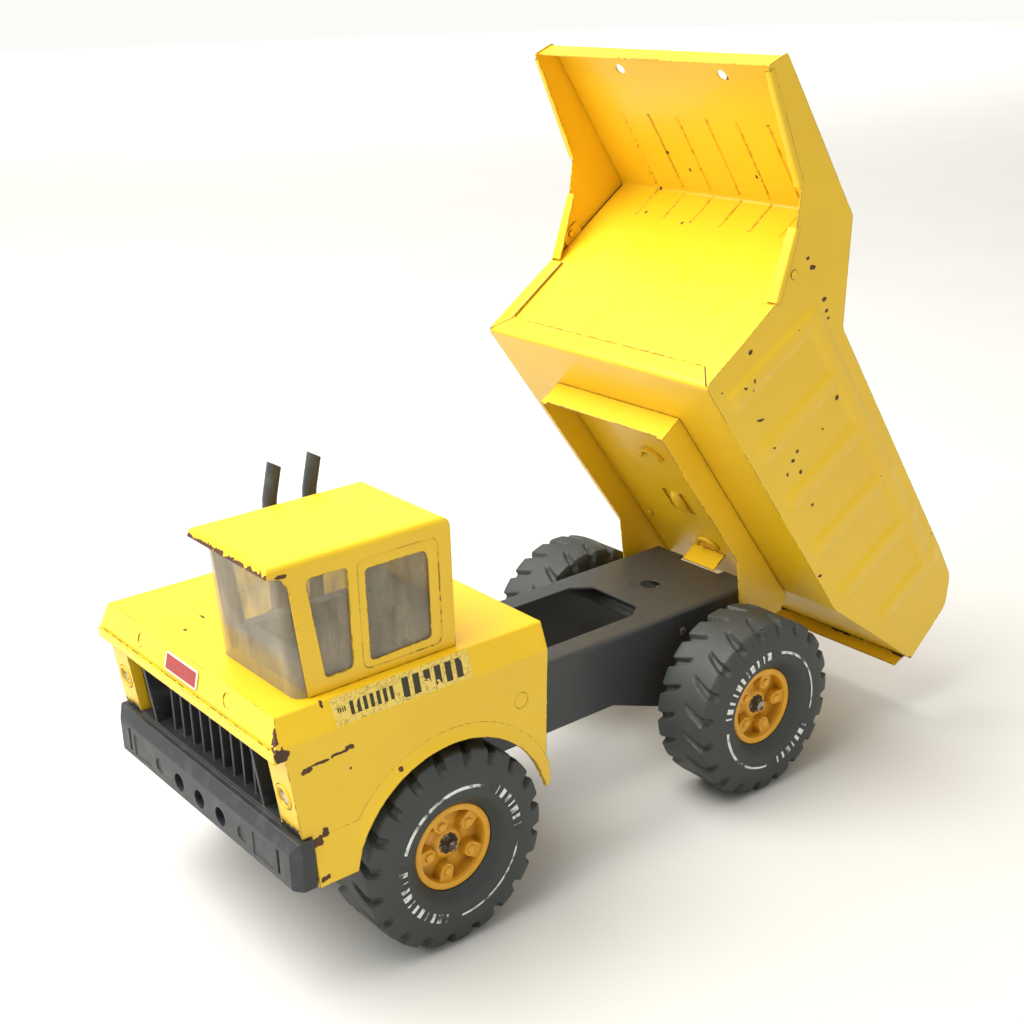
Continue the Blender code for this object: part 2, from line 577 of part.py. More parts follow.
# ---------------------------------------------------------------- chassis
def make_chassis():
    top = CHASSIS_TOP_Z
    side = [(CHASSIS_REAR_Y, top), (CHASSIS_FRONT_Y, top), (CHASSIS_FRONT_Y, 77.3), (-190.1, 44.5)]
    side += [(-129.6, 44.5), (-112.8, 64.3), (-0.3, 64.3), (35.0, 51.2), (55.2, 44.5)]
    side += [(97.2, 44.5), (CHASSIS_REAR_Y, 82.3)]
    side = rounded(side, [2.5, 2.5, 6, 8, 8, 8, 10, 10, 8, 10, 6], 3)
    frame = prism("frame", side, "X", -CHASSIS_HALF, CHASSIS_HALF)
    across = [(-CHASSIS_HALF, 0), (CHASSIS_HALF, 0), (CHASSIS_HALF, top), (-CHASSIS_HALF, top)]
    across = rounded(across, [0, 0, 3, 3])
    keep_common(frame, prism("across", across, "Y", CHASSIS_FRONT_Y - 5, CHASSIS_REAR_Y + 5))
    half = CHASSIS_HALF - FRAME_SHEET
    hollow = [(-half, -5), (half, -5), (half, top - FRAME_SHEET), (-half, top - FRAME_SHEET)]
    cut(frame, prism("hollow", rounded(hollow, [0, 0, 2, 2]), "Y", CHASSIS_FRONT_Y - 5, CHASSIS_REAR_Y + 5))
    # Long opening with chamfered corners
    well = [(-29.4, -49.0), (-29.4, 30.8), (-20.2, 42.6), (20.2, 42.6), (29.4, 30.8), (29.4, -49.0)]
    well += [(20.2, -60.7), (-20.2, -60.7)]
    cut(frame, prism("well", rounded(well, 3, 3), "Z", top - 5, top + 5))
    # Round hole in a dished recess, and the notch in the rear edge
    profile = [(14.3, top + 3), (14.3, top), (9.2, top - 0.6), (0, top - 0.6), (0, top + 3)]
    dish = lathe_upright("dish", profile, 73.3)
    cut(frame, dish)
    cut(frame, rod("hole", 6.4, "Z", top - 5, top + 5, (0, 73.3), 28))
    cut(frame, box("notch", (-18.5, CHASSIS_REAR_Y - 7.6, top - 5), (18.5, CHASSIS_REAR_Y + 5, top + 5)))
    # Axle, hinge pin and rivet holes
    reach = CHASSIS_HALF + 5
    for y in (FRONT_AXLE_Y, REAR_AXLE_Y):
        cut(frame, rod("hole", AXLE_RADIUS + RUNNING, "X", -reach, reach, (y, TYRE_RADIUS), 20))
    cut(frame, rod("hole", PIN_RADIUS + RUNNING, "X", -reach, reach, (PIVOT_Y, PIVOT_Z), 18))
    cut(frame, rod("hole", RIVET_SHANK + GAP / 2, "X", -reach, reach, (TIE_Y, TIE_Z), 12))
    for x in (-FOOT_RIVET_X, FOOT_RIVET_X):
        for y in (FOOT_RIVET_Y, BRACKET_Y):
            cut(frame, rod("hole", RIVET_SHANK + GAP / 2, "Z", top - 5, top + 5, (x, y), 12))
    return finish(frame, "chassis_frame", enamel("chassis_frame", FRAME_BLACK, 0.4), 30)


def lathe_upright(name, profile, y):
    """Turn a (radius, z) profile about an upright axis at x = 0 and the given y."""
    solid = lathe(name, profile, (0, 0), 24)
    turn = Matrix(((0, 1, 0, 0), (0, 0, 1, y), (1, 0, 0, 0), (0, 0, 0, 1)))
    return move(solid, turn)


def make_body_bracket():
    """Hat-section bracket that carries the front of the hood on the chassis."""
    low = CHASSIS_TOP_Z + GAP
    high = HOOD_TOP_Z - SHEET - GAP
    half = 33.6
    front = BRACKET_Y - 5.9
    rear = BRACKET_Y + 5.9
    leg = 18.5
    outline = [(-half, low), (-half, low + 1.2), (-leg, low + 1.2), (-leg, high), (leg, high)]
    outline += [(leg, low + 1.2), (half, low + 1.2), (half, low)]
    outline += [(leg - 1.2, low), (leg - 1.2, high - 1.2), (-leg + 1.2, high - 1.2), (-leg + 1.2, low)]
    bracket = prism("bracket", outline, "Y", front, rear)
    for x in (-FOOT_RIVET_X, FOOT_RIVET_X):
        cut(bracket, rod("hole", RIVET_SHANK + GAP / 2, "Z", low - 5, low + 5, (x, BRACKET_Y), 12))
    return finish(bracket, "body_bracket", enamel("body_bracket", FRAME_BLACK, 0.4), 30)


def make_tie_tube():
    """Tube that spaces the chassis flanges, held by a rivet from each side."""
    half = CHASSIS_HALF - FRAME_SHEET - GAP
    tube = rod("tube", 5.9, "X", -half, half, (TIE_Y, TIE_Z), 20)
    cut(tube, rod("bore", RIVET_SHANK + GAP / 2, "X", -half - 5, half + 5, (TIE_Y, TIE_Z), 12))
    return finish(tube, "frame_tie_tube", enamel("frame_tie_tube", FRAME_BLACK, 0.4), 30)


def make_rivet(name, head, tail, shank=RIVET_SHANK, radius=RIVET_HEAD, far_head=True, material=STEEL):
    """A rivet along X in its own place: a domed head at head, a set-over tail at tail."""
    direction = 1.0 if tail > head else -1.0
    dome = 1.2
    profile = [(0, head - direction * dome), (radius * 0.6, head - direction * dome * 0.8)]
    profile += [(radius, head - direction * dome * 0.15), (radius, head), (shank, head)]
    if far_head:
        end = tail + direction * 0.9
        profile += [(shank, tail), (radius * 0.85, tail), (radius * 0.7, end), (0, end)]
    else:
        profile += [(shank, tail), (0, tail)]
    return lathe(name, profile, (0, 0), 12), enamel(name, material, 0.35, 1.0 if material == STEEL else 0.0)


def make_chassis_rivets():
    made = []
    for side, label in ((1, "left"), (-1, "right")):
        name = "tie_rivet_" + label
        head = side * (CHASSIS_HALF + GAP)
        tail = side * (CHASSIS_HALF - FRAME_SHEET - GAP - 11.8)
        rivet, material = make_rivet(name, head, tail, far_head=False)
        move(rivet, Matrix.Translation((0, TIE_Y, TIE_Z)))
        made.append(finish(rivet, name, material, 40))
        upright = Matrix(((0, 1, 0, 0), (0, 0, 1, 0), (1, 0, 0, 0), (0, 0, 0, 1)))
        for place_name, y, thick in (("body", FOOT_RIVET_Y, SHEET), ("bracket", BRACKET_Y, 1.2)):
            name = place_name + "_rivet_" + label
            head = CHASSIS_TOP_Z + GAP + thick + GAP
            rivet, material = make_rivet(name, head, CHASSIS_TOP_Z - FRAME_SHEET - GAP)
            move(rivet, Matrix.Translation((side * FOOT_RIVET_X, y, 0)) @ upright)
            made.append(finish(rivet, name, material, 40))
    return made


# ---------------------------------------------------------------- wheels
def make_tyre(name, side, y):
    """A broad tyre: flat tread, rounded shoulders, bulging walls and a bore for the hub."""
    inner = TYRE_INNER_X
    outer = TYRE_SHOULDER_X
    bore = HUB_RADIUS + GAP
    wall = TYRE_BULGE
    profile = [(bore, HUB_FACE_X - 0.5), (bore + 2.5, HUB_FACE_X + 1.0), (bore + 6.7, outer + wall * 0.55)]
    profile += [(bore + 12.6, outer + wall), (bore + 18.5, outer + wall * 0.95)]
    profile += [(TYRE_RADIUS - 6.7, outer + wall * 0.55)]
    profile += [(TYRE_RADIUS - 2.1, outer), (TYRE_RADIUS, outer - 2.9), (TYRE_RADIUS, inner + 2.9)]
    profile += [(TYRE_RADIUS - 2.1, inner), (TYRE_RADIUS - 6.7, inner - wall * 0.1)]
    profile += [(bore + 6.7, inner - wall * 0.1)]
    profile += [(bore, inner + 2.5)]
    tyre = lathe(name, profile, (y, TYRE_RADIUS), 36)
    return finish(tyre, name, enamel(name, BLACK, 0.6), 35, (AXLE_END_X, y, TYRE_RADIUS), flip=side < 0)


def make_hub(name, side, y):
    """Deep-dished hub with a rim, a barrel, an inner sleeve and five lugs on pads."""
    face = HUB_FACE_X
    sleeve = AXLE_RADIUS + 2.6
    hole = AXLE_RADIUS + RUNNING
    dish = face - HUB_DISH
    rear = TYRE_INNER_X + 1.7
    profile = [(HUB_RADIUS, face), (HUB_RADIUS - 3.4, face), (HUB_RADIUS - 4.5, face - 1.7), (16.8, dish)]
    profile += [(sleeve + 3.4, dish), (sleeve + 1.7, dish - 0.8)]
    profile += [(hole, dish - 0.8), (hole, TYRE_INNER_X - 0.8)]
    profile += [(sleeve, TYRE_INNER_X - 0.8), (sleeve, dish - 3), (16.0, dish - 3), (21.8, face - 6.7)]
    profile += [(21.8, rear), (HUB_RADIUS, rear)]
    hub = lathe(name, profile, (y, TYRE_RADIUS), 28)
    for index in range(5):
        angle = math.radians(90 + 72 * index)
        centre = (y + 14.7 * math.cos(angle), TYRE_RADIUS + 14.7 * math.sin(angle))
        join(hub, rod("pad", 4.2, "X", dish - 2, face - 2.0, centre, 10))
        join(hub, rod("lug", 2.4, "X", face - 3.4, face - 0.7, centre, 6))
    return finish(hub, name, enamel(name, HUB_ORANGE, 0.35), 30, (AXLE_END_X, y, TYRE_RADIUS), flip=side < 0)


def make_wheel_set():
    """Four wheels, each a tyre on a hub, kept on by a push nut with a spacer inside."""
    made = []
    hub_back = TYRE_INNER_X - 0.8
    cap_inner = HUB_FACE_X - HUB_DISH - 0.8 + GAP
    for end, y in (("front", FRONT_AXLE_Y), ("rear", REAR_AXLE_Y)):
        half = AXLE_END_X
        axle = rod("axle", AXLE_RADIUS, "X", -half, half, (y, TYRE_RADIUS), 20)
        name = end + "_axle"
        made.append(finish(axle, name, enamel(name, STEEL, 0.3, 1.0), 30))
        for side, label in ((1, "left"), (-1, "right")):
            tag = end + "_" + label
            made.append(make_tyre("tyre_" + tag, side, y))
            made.append(make_hub("hub_" + tag, side, y))
            name = "push_nut_" + tag
            grip = AXLE_RADIUS + 0.05
            profile = [(grip, cap_inner), (6.0, cap_inner), (6.0, cap_inner + 0.7)]
            profile += [(4.0, cap_inner + 1.4), (3.7, cap_inner + 2.6), (grip, cap_inner + 2.6)]
            nut = lathe(name, profile, (y, TYRE_RADIUS), 20)
            made.append(finish(nut, name, enamel(name, STEEL, 0.35, 1.0), 30, flip=side < 0))
            name = "axle_spacer_" + tag
            start = CHASSIS_HALF + GAP
            end_x = hub_back - GAP
            spacer = rod("spacer", AXLE_RADIUS + 2.4, "X", start, end_x, (y, TYRE_RADIUS), 20)
            cut(spacer, rod("bore", AXLE_RADIUS + 0.1, "X", start - 5, end_x + 5, (y, TYRE_RADIUS), 20))
            made.append(finish(spacer, name, enamel(name, BLACK, 0.5), 30, flip=side < 0))
    return made


# ---------------------------------------------------------------- bed
def bed_to_world():
    """Return the matrix that tips the bed, drawn flat about its pin, to its rest."""
    to_pin = Matrix.Translation((0, -PIVOT_B, -PIVOT_U))
    tip = Matrix.Rotation(-TIP_ANGLE, 4, "X")
    return Matrix.Translation((0, PIVOT_Y, PIVOT_Z)) @ tip @ to_pin


def bed_piece(obj, name, material, smooth=30):
    """Tip a piece of the bed into place and put its origin on the hinge pin."""
    move(obj, bed_to_world())
    return finish(obj, name, material, smooth, PIVOT)


def bed_outline():
    """Return the side panel's outline, from the front corner back and round."""
    points = [(0, 0), (FLOOR_KINK_B, 0), (TAIL_B, TAIL_U), (296.5, 76.4)] + RIM
    points += [(2.5, HEADBOARD_HEIGHT), (-CANOPY_REACH, HEADBOARD_HEIGHT + 4.7)]
    points += [(-CANOPY_REACH - 3.6, 130.5), (-39.2, 115.9), (-23.9, 101.4), (0.5, 65.5)]
    return rounded(points, [3.5, 10, 2, 14, 14, 0, 8, 4, 2, 1.5, 6, 3, 2], 3)


def make_bed_tub():
    half = BODY_HALF
    tub = prism("tub", bed_outline(), "X", -half, half)
    inside = half - SHEET
    # The hollow follows the floor and leaves the front frame and the rims standing
    floor = [(SHEET, SHEET), (FLOOR_KINK_B - 0.2, SHEET), (TAIL_B + 25.2, TAIL_U + 8.4 + SHEET)]
    rim_back = (352.8, 89.9 - SHEET)
    hollow = floor + [rim_back, (253.7, 93.5 - SHEET), (53.3, 100.1 - SHEET), (46.2, 252.0), (SHEET, 252.0)]
    cut(tub, prism("hollow", rounded(hollow, [2.5, 10, 0, 0, 0, 0, 0, 0], 4), "X", -inside, inside))
    mouth = [(SHEET, 84.0), (361.2, 50.4), (361.2, 252.0), (SHEET, 252.0)]
    cut(tub, prism("mouth", mouth, "X", -half + 5.9, half - 5.9))
    # Front frame: a strip turned up from the floor and a strip turned in from each side
    window = [(-half + 11.8, 13.4), (half - 11.8, 13.4), (half - 11.8, 252.0), (-half + 11.8, 252.0)]
    cut(tub, prism("window", rounded(window, [4, 4, 0, 0]), "Y", -2.5, SHEET + 0.1))
    front = [(-117.6, 64.7), (SHEET + 0.1, 64.7), (SHEET + 0.1, 252.0), (-117.6, 252.0)]
    cut(tub, prism("front", front, "X", -inside, inside))
    # Lip turned down along the tail of the floor
    lip = [(TAIL_B - 2.2, TAIL_U - 0.2), (TAIL_B - 0.5, TAIL_U + 0.4), (TAIL_B - 3.0, TAIL_U - 10.5)]
    lip += [(TAIL_B - 4.0, TAIL_U - 10.1)]
    join(tub, prism("lip", lip, "X", -half + 5.0, half - 5.0))
    # Upright ribs pressed outward in each side
    for index in range(RIB_COUNT):
        b = 22.7 + RIB_PITCH * index
        low_u = 11.8 if index < RIB_COUNT - 1 else 30.2
        high_u = 86.5 - index * 1.3
        for side in (-1, 1):
            join(tub, rib(b, low_u, high_u, side))
    cut(tub, rod("hole", RIVET_SHANK + GAP / 2, "X", -half - 5, half + 5, (BED_RIVET_B, BED_RIVET_U), 12))
    for x, b in pan_rivet_places():
        cut(tub, rod("hole", RIVET_SHANK + GAP / 2, "Z", -5, 5, (x, b), 12))
    return bed_piece(tub, "bed_tub", enamel("bed_tub", YELLOW))


def rib(b, low_u, high_u, side):
    """A long rib with sloping edges, standing proud of one side of the bed."""
    foot = BODY_HALF - 0.4
    crown = BODY_HALF + 0.9
    lean = 6.7
    half_foot = 3.8
    half_crown = 1.7
    mesh_data = bmesh.new()
    lower = []
    upper = []
    for width, x, draw_in in ((half_foot, foot, 0), (half_crown, crown, 2.5)):
        for u, shift in ((low_u + draw_in, 0), (high_u - draw_in, lean)):
            lower.append(mesh_data.verts.new((side * x, b + shift - width, u)))
            upper.append(mesh_data.verts.new((side * x, b + shift + width, u)))
    foot_low, foot_high, crown_low, crown_high = lower
    foot_low_b, foot_high_b, crown_low_b, crown_high_b = upper
    mesh_data.faces.new((foot_low, foot_low_b, foot_high_b, foot_high))
    mesh_data.faces.new((crown_low, crown_high, crown_high_b, crown_low_b))
    mesh_data.faces.new((foot_low, crown_low, crown_low_b, foot_low_b))
    mesh_data.faces.new((foot_high, foot_high_b, crown_high_b, crown_high))
    mesh_data.faces.new((foot_low, foot_high, crown_high, crown_low))
    mesh_data.faces.new((foot_low_b, crown_low_b, crown_high_b, foot_high_b))
    return from_bmesh("rib", mesh_data)


def make_headboard():
    """The headboard, the canopy over the cab and its lip are one pressing."""
    half = BODY_HALF - SHEET - GAP
    front = SHEET + GAP
    top = HEADBOARD_HEIGHT - 0.5
    reach = -CANOPY_REACH + 0.8
    rise = 4.4
    sheet = SHEET
    low = SHEET + GAP + 1.0
    lip_low = 131.9
    outline = [(front, low), (front, top - sheet)]
    outline += [(reach + sheet, top + rise - sheet), (reach - 2.2, lip_low)]
    outline += [(reach - 3.2, lip_low + 0.3), (reach, top + rise), (front + sheet, top), (front + sheet, low)]
    outline = rounded(outline, [0, 2, 1, 0, 0, 2, 3, 0], 4)
    board = prism("board", outline, "X", -half, half)
    # Side flanges that the rivets pass through
    for side in (-1, 1):
        low_x, high_x = sorted((side * half, side * (half - SHEET)))
        join(board, box("flange", (low_x, -6.7, 79.0), (high_x, front + 0.5, 94.1)))
    cut(board, rod("hole", RIVET_SHANK + GAP / 2, "X", -half - 5, half + 5, (BED_RIVET_B, BED_RIVET_U), 12))
    # Ribs along the canopy that carry on down the headboard
    slope = math.atan2(rise, CANOPY_REACH)
    for index in range(6):
        x = (index - 2.5) * 24.4
        bead = rod("bead", 1.3, "Y", -58.8, -3.4, (0, 0), 8)
        matrix = Matrix.Translation((x, 0, top - sheet + 0.5)) @ Matrix.Rotation(-slope, 4, "X")
        join(board, move(bead, matrix))
        join(board, rod("bead", 1.3, "Z", top - 25.2, top - 0.5, (x, front + 0.5), 8))
    for x in (-42.0, 42.0):
        cut(board, rod("hole", 3.4, "Z", top - 9, top + 20, (x, -91.6), 20))
    return bed_piece(board, "bed_headboard", enamel("bed_headboard", YELLOW))


def pan_rivet_places():
    return [(side * (PAN_HALF - 10.9), b) for side in (-1, 1) for b in (60.5, 161.3)]


def make_hinge_pan():
    """The pan under the bed: a web, four flanges and an ear for the pin on each side."""
    top = -GAP
    half = PAN_HALF
    rest_u = PIVOT_U + (CHASSIS_TOP_Z - PIVOT_Z) + GAP
    ear = circle((PIVOT_B, PIVOT_U), 10.1, 24)
    lower = [point for point in ear if point[1] < PIVOT_U + 0.1]
    lower.sort()
    side = [(PAN_FRONT_B, top), (PAN_FRONT_B, -PAN_FLANGE), (152.9, -PAN_FLANGE), (175.6, -30.2)]
    side += lower + [(213.4, -9.7), (PAN_REAR_B + 1.7, top)]
    pan = prism("pan", side, "X", -half, half)
    inside = half - SHEET
    trough = [(PAN_FRONT_B + SHEET, top - SHEET), (PAN_FRONT_B + SHEET, -75.6)]
    trough += [(252.0, -75.6), (252.0, top - SHEET)]
    cut(pan, prism("trough", trough, "X", -inside, inside))
    # The front flange stops short of the ears so that it lands on the chassis
    wide = PAN_HALF - 5.0
    cut(pan, box("front", (-wide, PAN_FRONT_B - 5, -75.6), (wide, PAN_FRONT_B + SHEET + 0.2, rest_u)))
    # Stop tab, turned down from the web to meet the rear edge of the chassis
    stop_b, stop_u = stop_place()
    join(pan, box("stop", (-14.3, stop_b - SHEET, stop_u), (14.3, stop_b, top - SHEET / 2)))
    # Oval slots with lanced tabs, and shallow crescents
    for x in (-7.6, 7.6):
        slot = [(x - 2.9, 123.5), (x + 2.9, 123.5), (x + 2.9, 144.5), (x - 2.9, 144.5)]
        cut(pan, prism("slot", rounded(slot, 3, 4), "Z", top - SHEET - 3, top + 3))
    for b in (88.2, 178.1):
        ring = lathe_upright("ring", [(7.6, -0.5), (9.2, 0.4), (9.2, -3), (7.6, -3)], b)
        move(ring, Matrix.Translation((3.4, 0, top - SHEET - 0.1)))
        keep_common(ring, box("half", (-16.8, b - 30, -20), (16.8, b, 20)))
        join(pan, ring)
    reach = half + 5
    cut(pan, rod("hole", PIN_RADIUS + RUNNING, "X", -reach, reach, (PIVOT_B, PIVOT_U), 18))
    for x, b in pan_rivet_places():
        cut(pan, rod("hole", RIVET_SHANK + GAP / 2, "Z", top - SHEET - 3, top + 3, (x, b), 12))
    return bed_piece(pan, "hinge_pan", enamel("hinge_pan", YELLOW))


def stop_place():
    """Return where, in the bed's frame, the chassis' notched edge meets the stop tab."""
    edge = Vector((0, CHASSIS_REAR_Y - 7.6 + GAP, CHASSIS_TOP_Z + GAP))
    flat = bed_to_world().inverted() @ edge
    return flat.y, flat.z + GAP


def make_bed_fasteners():
    made = []
    upright = Matrix(((0, 1, 0, 0), (0, 0, 1, 0), (1, 0, 0, 0), (0, 0, 0, 1)))
    for side, label in ((1, "left"), (-1, "right")):
        name = "headboard_rivet_" + label
        head = side * (BODY_HALF + GAP)
        tail = side * (BODY_HALF - 2 * SHEET - 2 * GAP)
        rivet, material = make_rivet(name, head, tail, material=YELLOW)
        move(rivet, Matrix.Translation((0, BED_RIVET_B, BED_RIVET_U)))
        made.append(bed_piece(rivet, name, material, 40))
    labels = ("front_right", "rear_right", "front_left", "rear_left")
    for (x, b), label in zip(pan_rivet_places(), labels):
        name = "pan_rivet_" + label
        rivet, material = make_rivet(name, -2 * GAP - SHEET, SHEET + GAP, material=YELLOW)
        move(rivet, Matrix.Translation((x, b, 0)) @ upright)
        made.append(bed_piece(rivet, name, material, 40))
    return made


def make_hinge():
    """The pin through the chassis and the pan, its spacers and its push nuts."""
    made = []
    half = PAN_HALF + 3.2
    pin = rod("pin", PIN_RADIUS, "X", -half, half, (PIVOT_Y, PIVOT_Z), 18)
    made.append(finish(pin, "hinge_pin", enamel("hinge_pin", STEEL, 0.3, 1.0), 30, PIVOT))
    for side, label in ((1, "left"), (-1, "right")):
        name = "hinge_clip_" + label
        start = PAN_HALF + GAP
        profile = [(PIN_RADIUS + 0.05, start), (PIN_RADIUS + 2.6, start), (PIN_RADIUS + 2.6, start + 0.8)]
        profile += [(PIN_RADIUS + 1.2, start + 1.6), (PIN_RADIUS + 0.05, start + 1.6)]
        clip = lathe(name, profile, (PIVOT_Y, PIVOT_Z), 18)
        made.append(finish(clip, name, enamel(name, STEEL, 0.35, 1.0), 30, flip=side < 0))
        name = "hinge_spacer_" + label
        start = CHASSIS_HALF + GAP
        end = PAN_HALF - SHEET - GAP
        spacer = rod("spacer", PIN_RADIUS + 2.2, "X", start, end, (PIVOT_Y, PIVOT_Z), 18)
        cut(spacer, rod("bore", PIN_RADIUS + 0.1, "X", start - 5, end + 5, (PIVOT_Y, PIVOT_Z), 18))
        made.append(finish(spacer, name, enamel(name, BLACK, 0.5), 30, flip=side < 0))
    return made


# ---------------------------------------------------------------- badge
def make_badge():
    """A thin plain badge with round corners on the sloping front of the hood."""
    corners = [(-BADGE_HALF, -BADGE_HIGH / 2), (BADGE_HALF, -BADGE_HIGH / 2)]
    corners += [(BADGE_HALF, BADGE_HIGH / 2), (-BADGE_HALF, BADGE_HIGH / 2)]
    plate = prism("badge", rounded(corners, BADGE_HIGH / 4, 4), "Y", -BADGE_THICK, 0)
    low_y = LIP_Y + BADGE_FOOT / 4
    low_z = LIP_Z + BADGE_FOOT
    matrix = Matrix.Translation((0, (HOOD_FRONT_Y + low_y) / 2 - GAP, (HOOD_TOP_Z + low_z) / 2))
    slope = math.atan2(HOOD_FRONT_Y - low_y, HOOD_TOP_Z - low_z)
    move(plate, matrix @ Matrix.Rotation(-slope, 4, "X"))
    return finish(plate, "hood_badge", enamel("hood_badge", (0.5, 0.03, 0.03), 0.3), 30)


# ---------------------------------------------------------------- assembly
make_front_body()
make_grille_bumper()
make_headlight(1, "headlight_left")
make_headlight(-1, "headlight_right")
make_cab_shell()
make_window_insert()
make_cab_interior()
for station_name, station_y in STACK_STATIONS.items():
    make_stack(station_name, station_y)
make_badge()
make_chassis()
make_body_bracket()
make_tie_tube()
make_chassis_rivets()
make_wheel_set()
make_bed_tub()
make_headboard()
make_hinge_pan()
make_bed_fasteners()
make_hinge()
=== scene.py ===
# %% [markdown]
# # A well-used pressed-steel dump truck
# The truck's steel, plastic and axles come in as a fixed frame, already in place. This lesson gives them
# their finishes, and it makes the surfaces that a plain solid can't show: the lugs of the tyres, the dished
# hubs, the teeth of the push nuts, the label and the small pressings. The frame could be remodelled by hand
# here, but then nothing would fit. Every new piece takes its place from the frame's own boxes instead.

# %% Load the frame
import json
import math

import bmesh
import bpy
from mathutils import Matrix, Vector


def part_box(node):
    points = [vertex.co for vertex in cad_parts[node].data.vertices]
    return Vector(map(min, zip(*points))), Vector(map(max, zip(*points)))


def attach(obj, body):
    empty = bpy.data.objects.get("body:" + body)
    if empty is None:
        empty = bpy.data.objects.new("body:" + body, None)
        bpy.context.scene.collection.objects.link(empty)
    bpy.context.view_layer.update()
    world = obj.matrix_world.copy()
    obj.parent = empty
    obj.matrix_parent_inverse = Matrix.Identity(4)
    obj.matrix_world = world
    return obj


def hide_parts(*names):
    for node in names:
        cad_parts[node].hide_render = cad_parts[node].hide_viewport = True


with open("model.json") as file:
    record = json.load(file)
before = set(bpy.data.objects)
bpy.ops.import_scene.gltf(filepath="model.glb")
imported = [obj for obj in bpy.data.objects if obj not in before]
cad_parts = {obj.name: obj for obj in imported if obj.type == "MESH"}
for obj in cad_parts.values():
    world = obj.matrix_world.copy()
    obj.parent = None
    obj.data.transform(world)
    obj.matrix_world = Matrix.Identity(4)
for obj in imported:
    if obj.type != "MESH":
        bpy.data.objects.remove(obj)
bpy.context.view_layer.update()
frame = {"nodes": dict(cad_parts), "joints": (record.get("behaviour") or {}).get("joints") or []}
MM = 0.001

# %% [markdown]
# ## Camera
# A three-quarter view from the front left, a little above the cab. A camera could be aimed with a
# constraint, but three turns say the same thing openly: the heading, the downward tilt and a slight roll.

# %% Set up the camera
CAMERA_PLACE = (0.6597, -0.5522, 0.4977)
CAMERA_HEADING = math.radians(52.06)
CAMERA_DOWN = math.radians(20.39)
CAMERA_ROLL = math.radians(-1.87)

camera_data = bpy.data.cameras.new("camera")
camera_data.lens = 53.49
camera_data.sensor_width = 36.0
camera_data.clip_end = 200.0
camera = bpy.data.objects.new("camera", camera_data)
bpy.context.scene.collection.objects.link(camera)
heading = Matrix.Rotation(CAMERA_HEADING, 4, "Z")
tilt = Matrix.Rotation(math.pi / 2 - CAMERA_DOWN, 4, "X")
roll = Matrix.Rotation(CAMERA_ROLL, 4, "Z")
camera.matrix_world = Matrix.Translation(CAMERA_PLACE) @ heading @ tilt @ roll
bpy.context.scene.camera = camera
print("camera at", CAMERA_PLACE)

# %% [markdown]
# ## Colours and nodes
# Paint charts give sRGB colours, and a shader wants linear light, so one function turns a hex value into
# linear numbers. One more adds a node with its settings and its links, which keeps each material short
# enough to read as a recipe.


# %% Two helpers for materials
def linear(hex_colour):
    """Turn an sRGB hex colour into linear RGBA."""
    parts = [int(hex_colour[i:i + 2], 16) / 255 for i in (1, 3, 5)]
    return (*[p / 12.92 if p <= 0.04045 else ((p + 0.055) / 1.055) ** 2.4 for p in parts], 1.0)


def add(tree, kind, sockets=None, give=0, **settings):
    """Add a node, set it up, fill or link its sockets and return one of its outputs."""
    node = tree.nodes.new("ShaderNode" + kind)
    for key, value in settings.items():
        setattr(node, key, value)
    for key, value in (sockets or {}).items():
        if isinstance(value, bpy.types.NodeSocket):
            tree.links.new(value, node.inputs[key])
        else:
            node.inputs[key].default_value = value
    return node.outputs[give]


def start_material(name):
    """Return a new material, its empty node tree and the rest position in metres."""
    material = bpy.data.materials.new(name)
    material.use_nodes = True
    material.node_tree.nodes.clear()
    tree = material.node_tree
    return material, tree, add(tree, "TexCoord", give="Object")


def close_material(tree, sockets):
    """End a recipe in one Principled shader."""
    shader = add(tree, "BsdfPrincipled", sockets)
    end = tree.nodes.new("ShaderNodeOutputMaterial")
    tree.links.new(shader, end.inputs["Surface"])


def across(size_mm):
    """Return the texture scale that makes one feature about size_mm wide."""
    return 1.0 / (size_mm * MM)


print("linear yellow:", [round(c, 3) for c in linear("#F2C33A")])

# %% [markdown]
# ## Studio
# A pale floor under two large softboxes. One lamp could light the truck alone, but the floor far behind it
# would fall into grey, so the second softbox hangs over that floor, and a pale sky fills the sides evenly.
# The floor ends far behind the truck, where it fades into a thin bright band of sky.

# %% Floor, sky and lights
FLOOR_REACH = 9.0
SOFTBOXES = {       # place, width in metres and watts
    "softbox": ((-0.55, -1.15, 2.15), 2.4, 118.0),
    "backdrop_softbox": ((-6.5, 4.0, 3.5), 6.0, 520.0),
}
SKY_LOW = 0.50
SKY_HIGH = 0.62
SKY_HORIZON = 0.98          # the thin bright band that the floor fades into


def make_floor():
    """A pale round floor, its top just under the tyres."""
    mesh = bmesh.new()
    bmesh.ops.create_circle(mesh, cap_ends=True, radius=FLOOR_REACH, segments=96)
    data = bpy.data.meshes.new("studio_floor")
    mesh.to_mesh(data)
    mesh.free()
    floor = bpy.data.objects.new("studio_floor", data)
    floor.location.z = -0.05 * MM
    bpy.context.scene.collection.objects.link(floor)
    material, tree, place = start_material("matt_grey_paper")
    mottle = add(tree, "TexNoise", {"Vector": place, "Scale": across(180), "Detail": 3.0})
    tone = add(tree, "MixRGB", {"Fac": mottle, "Color1": linear("#CECDC8"), "Color2": linear("#D4D3CF")})
    close_material(tree, {"Base Color": tone, "Roughness": 0.75})
    data.materials.append(material)
    return floor


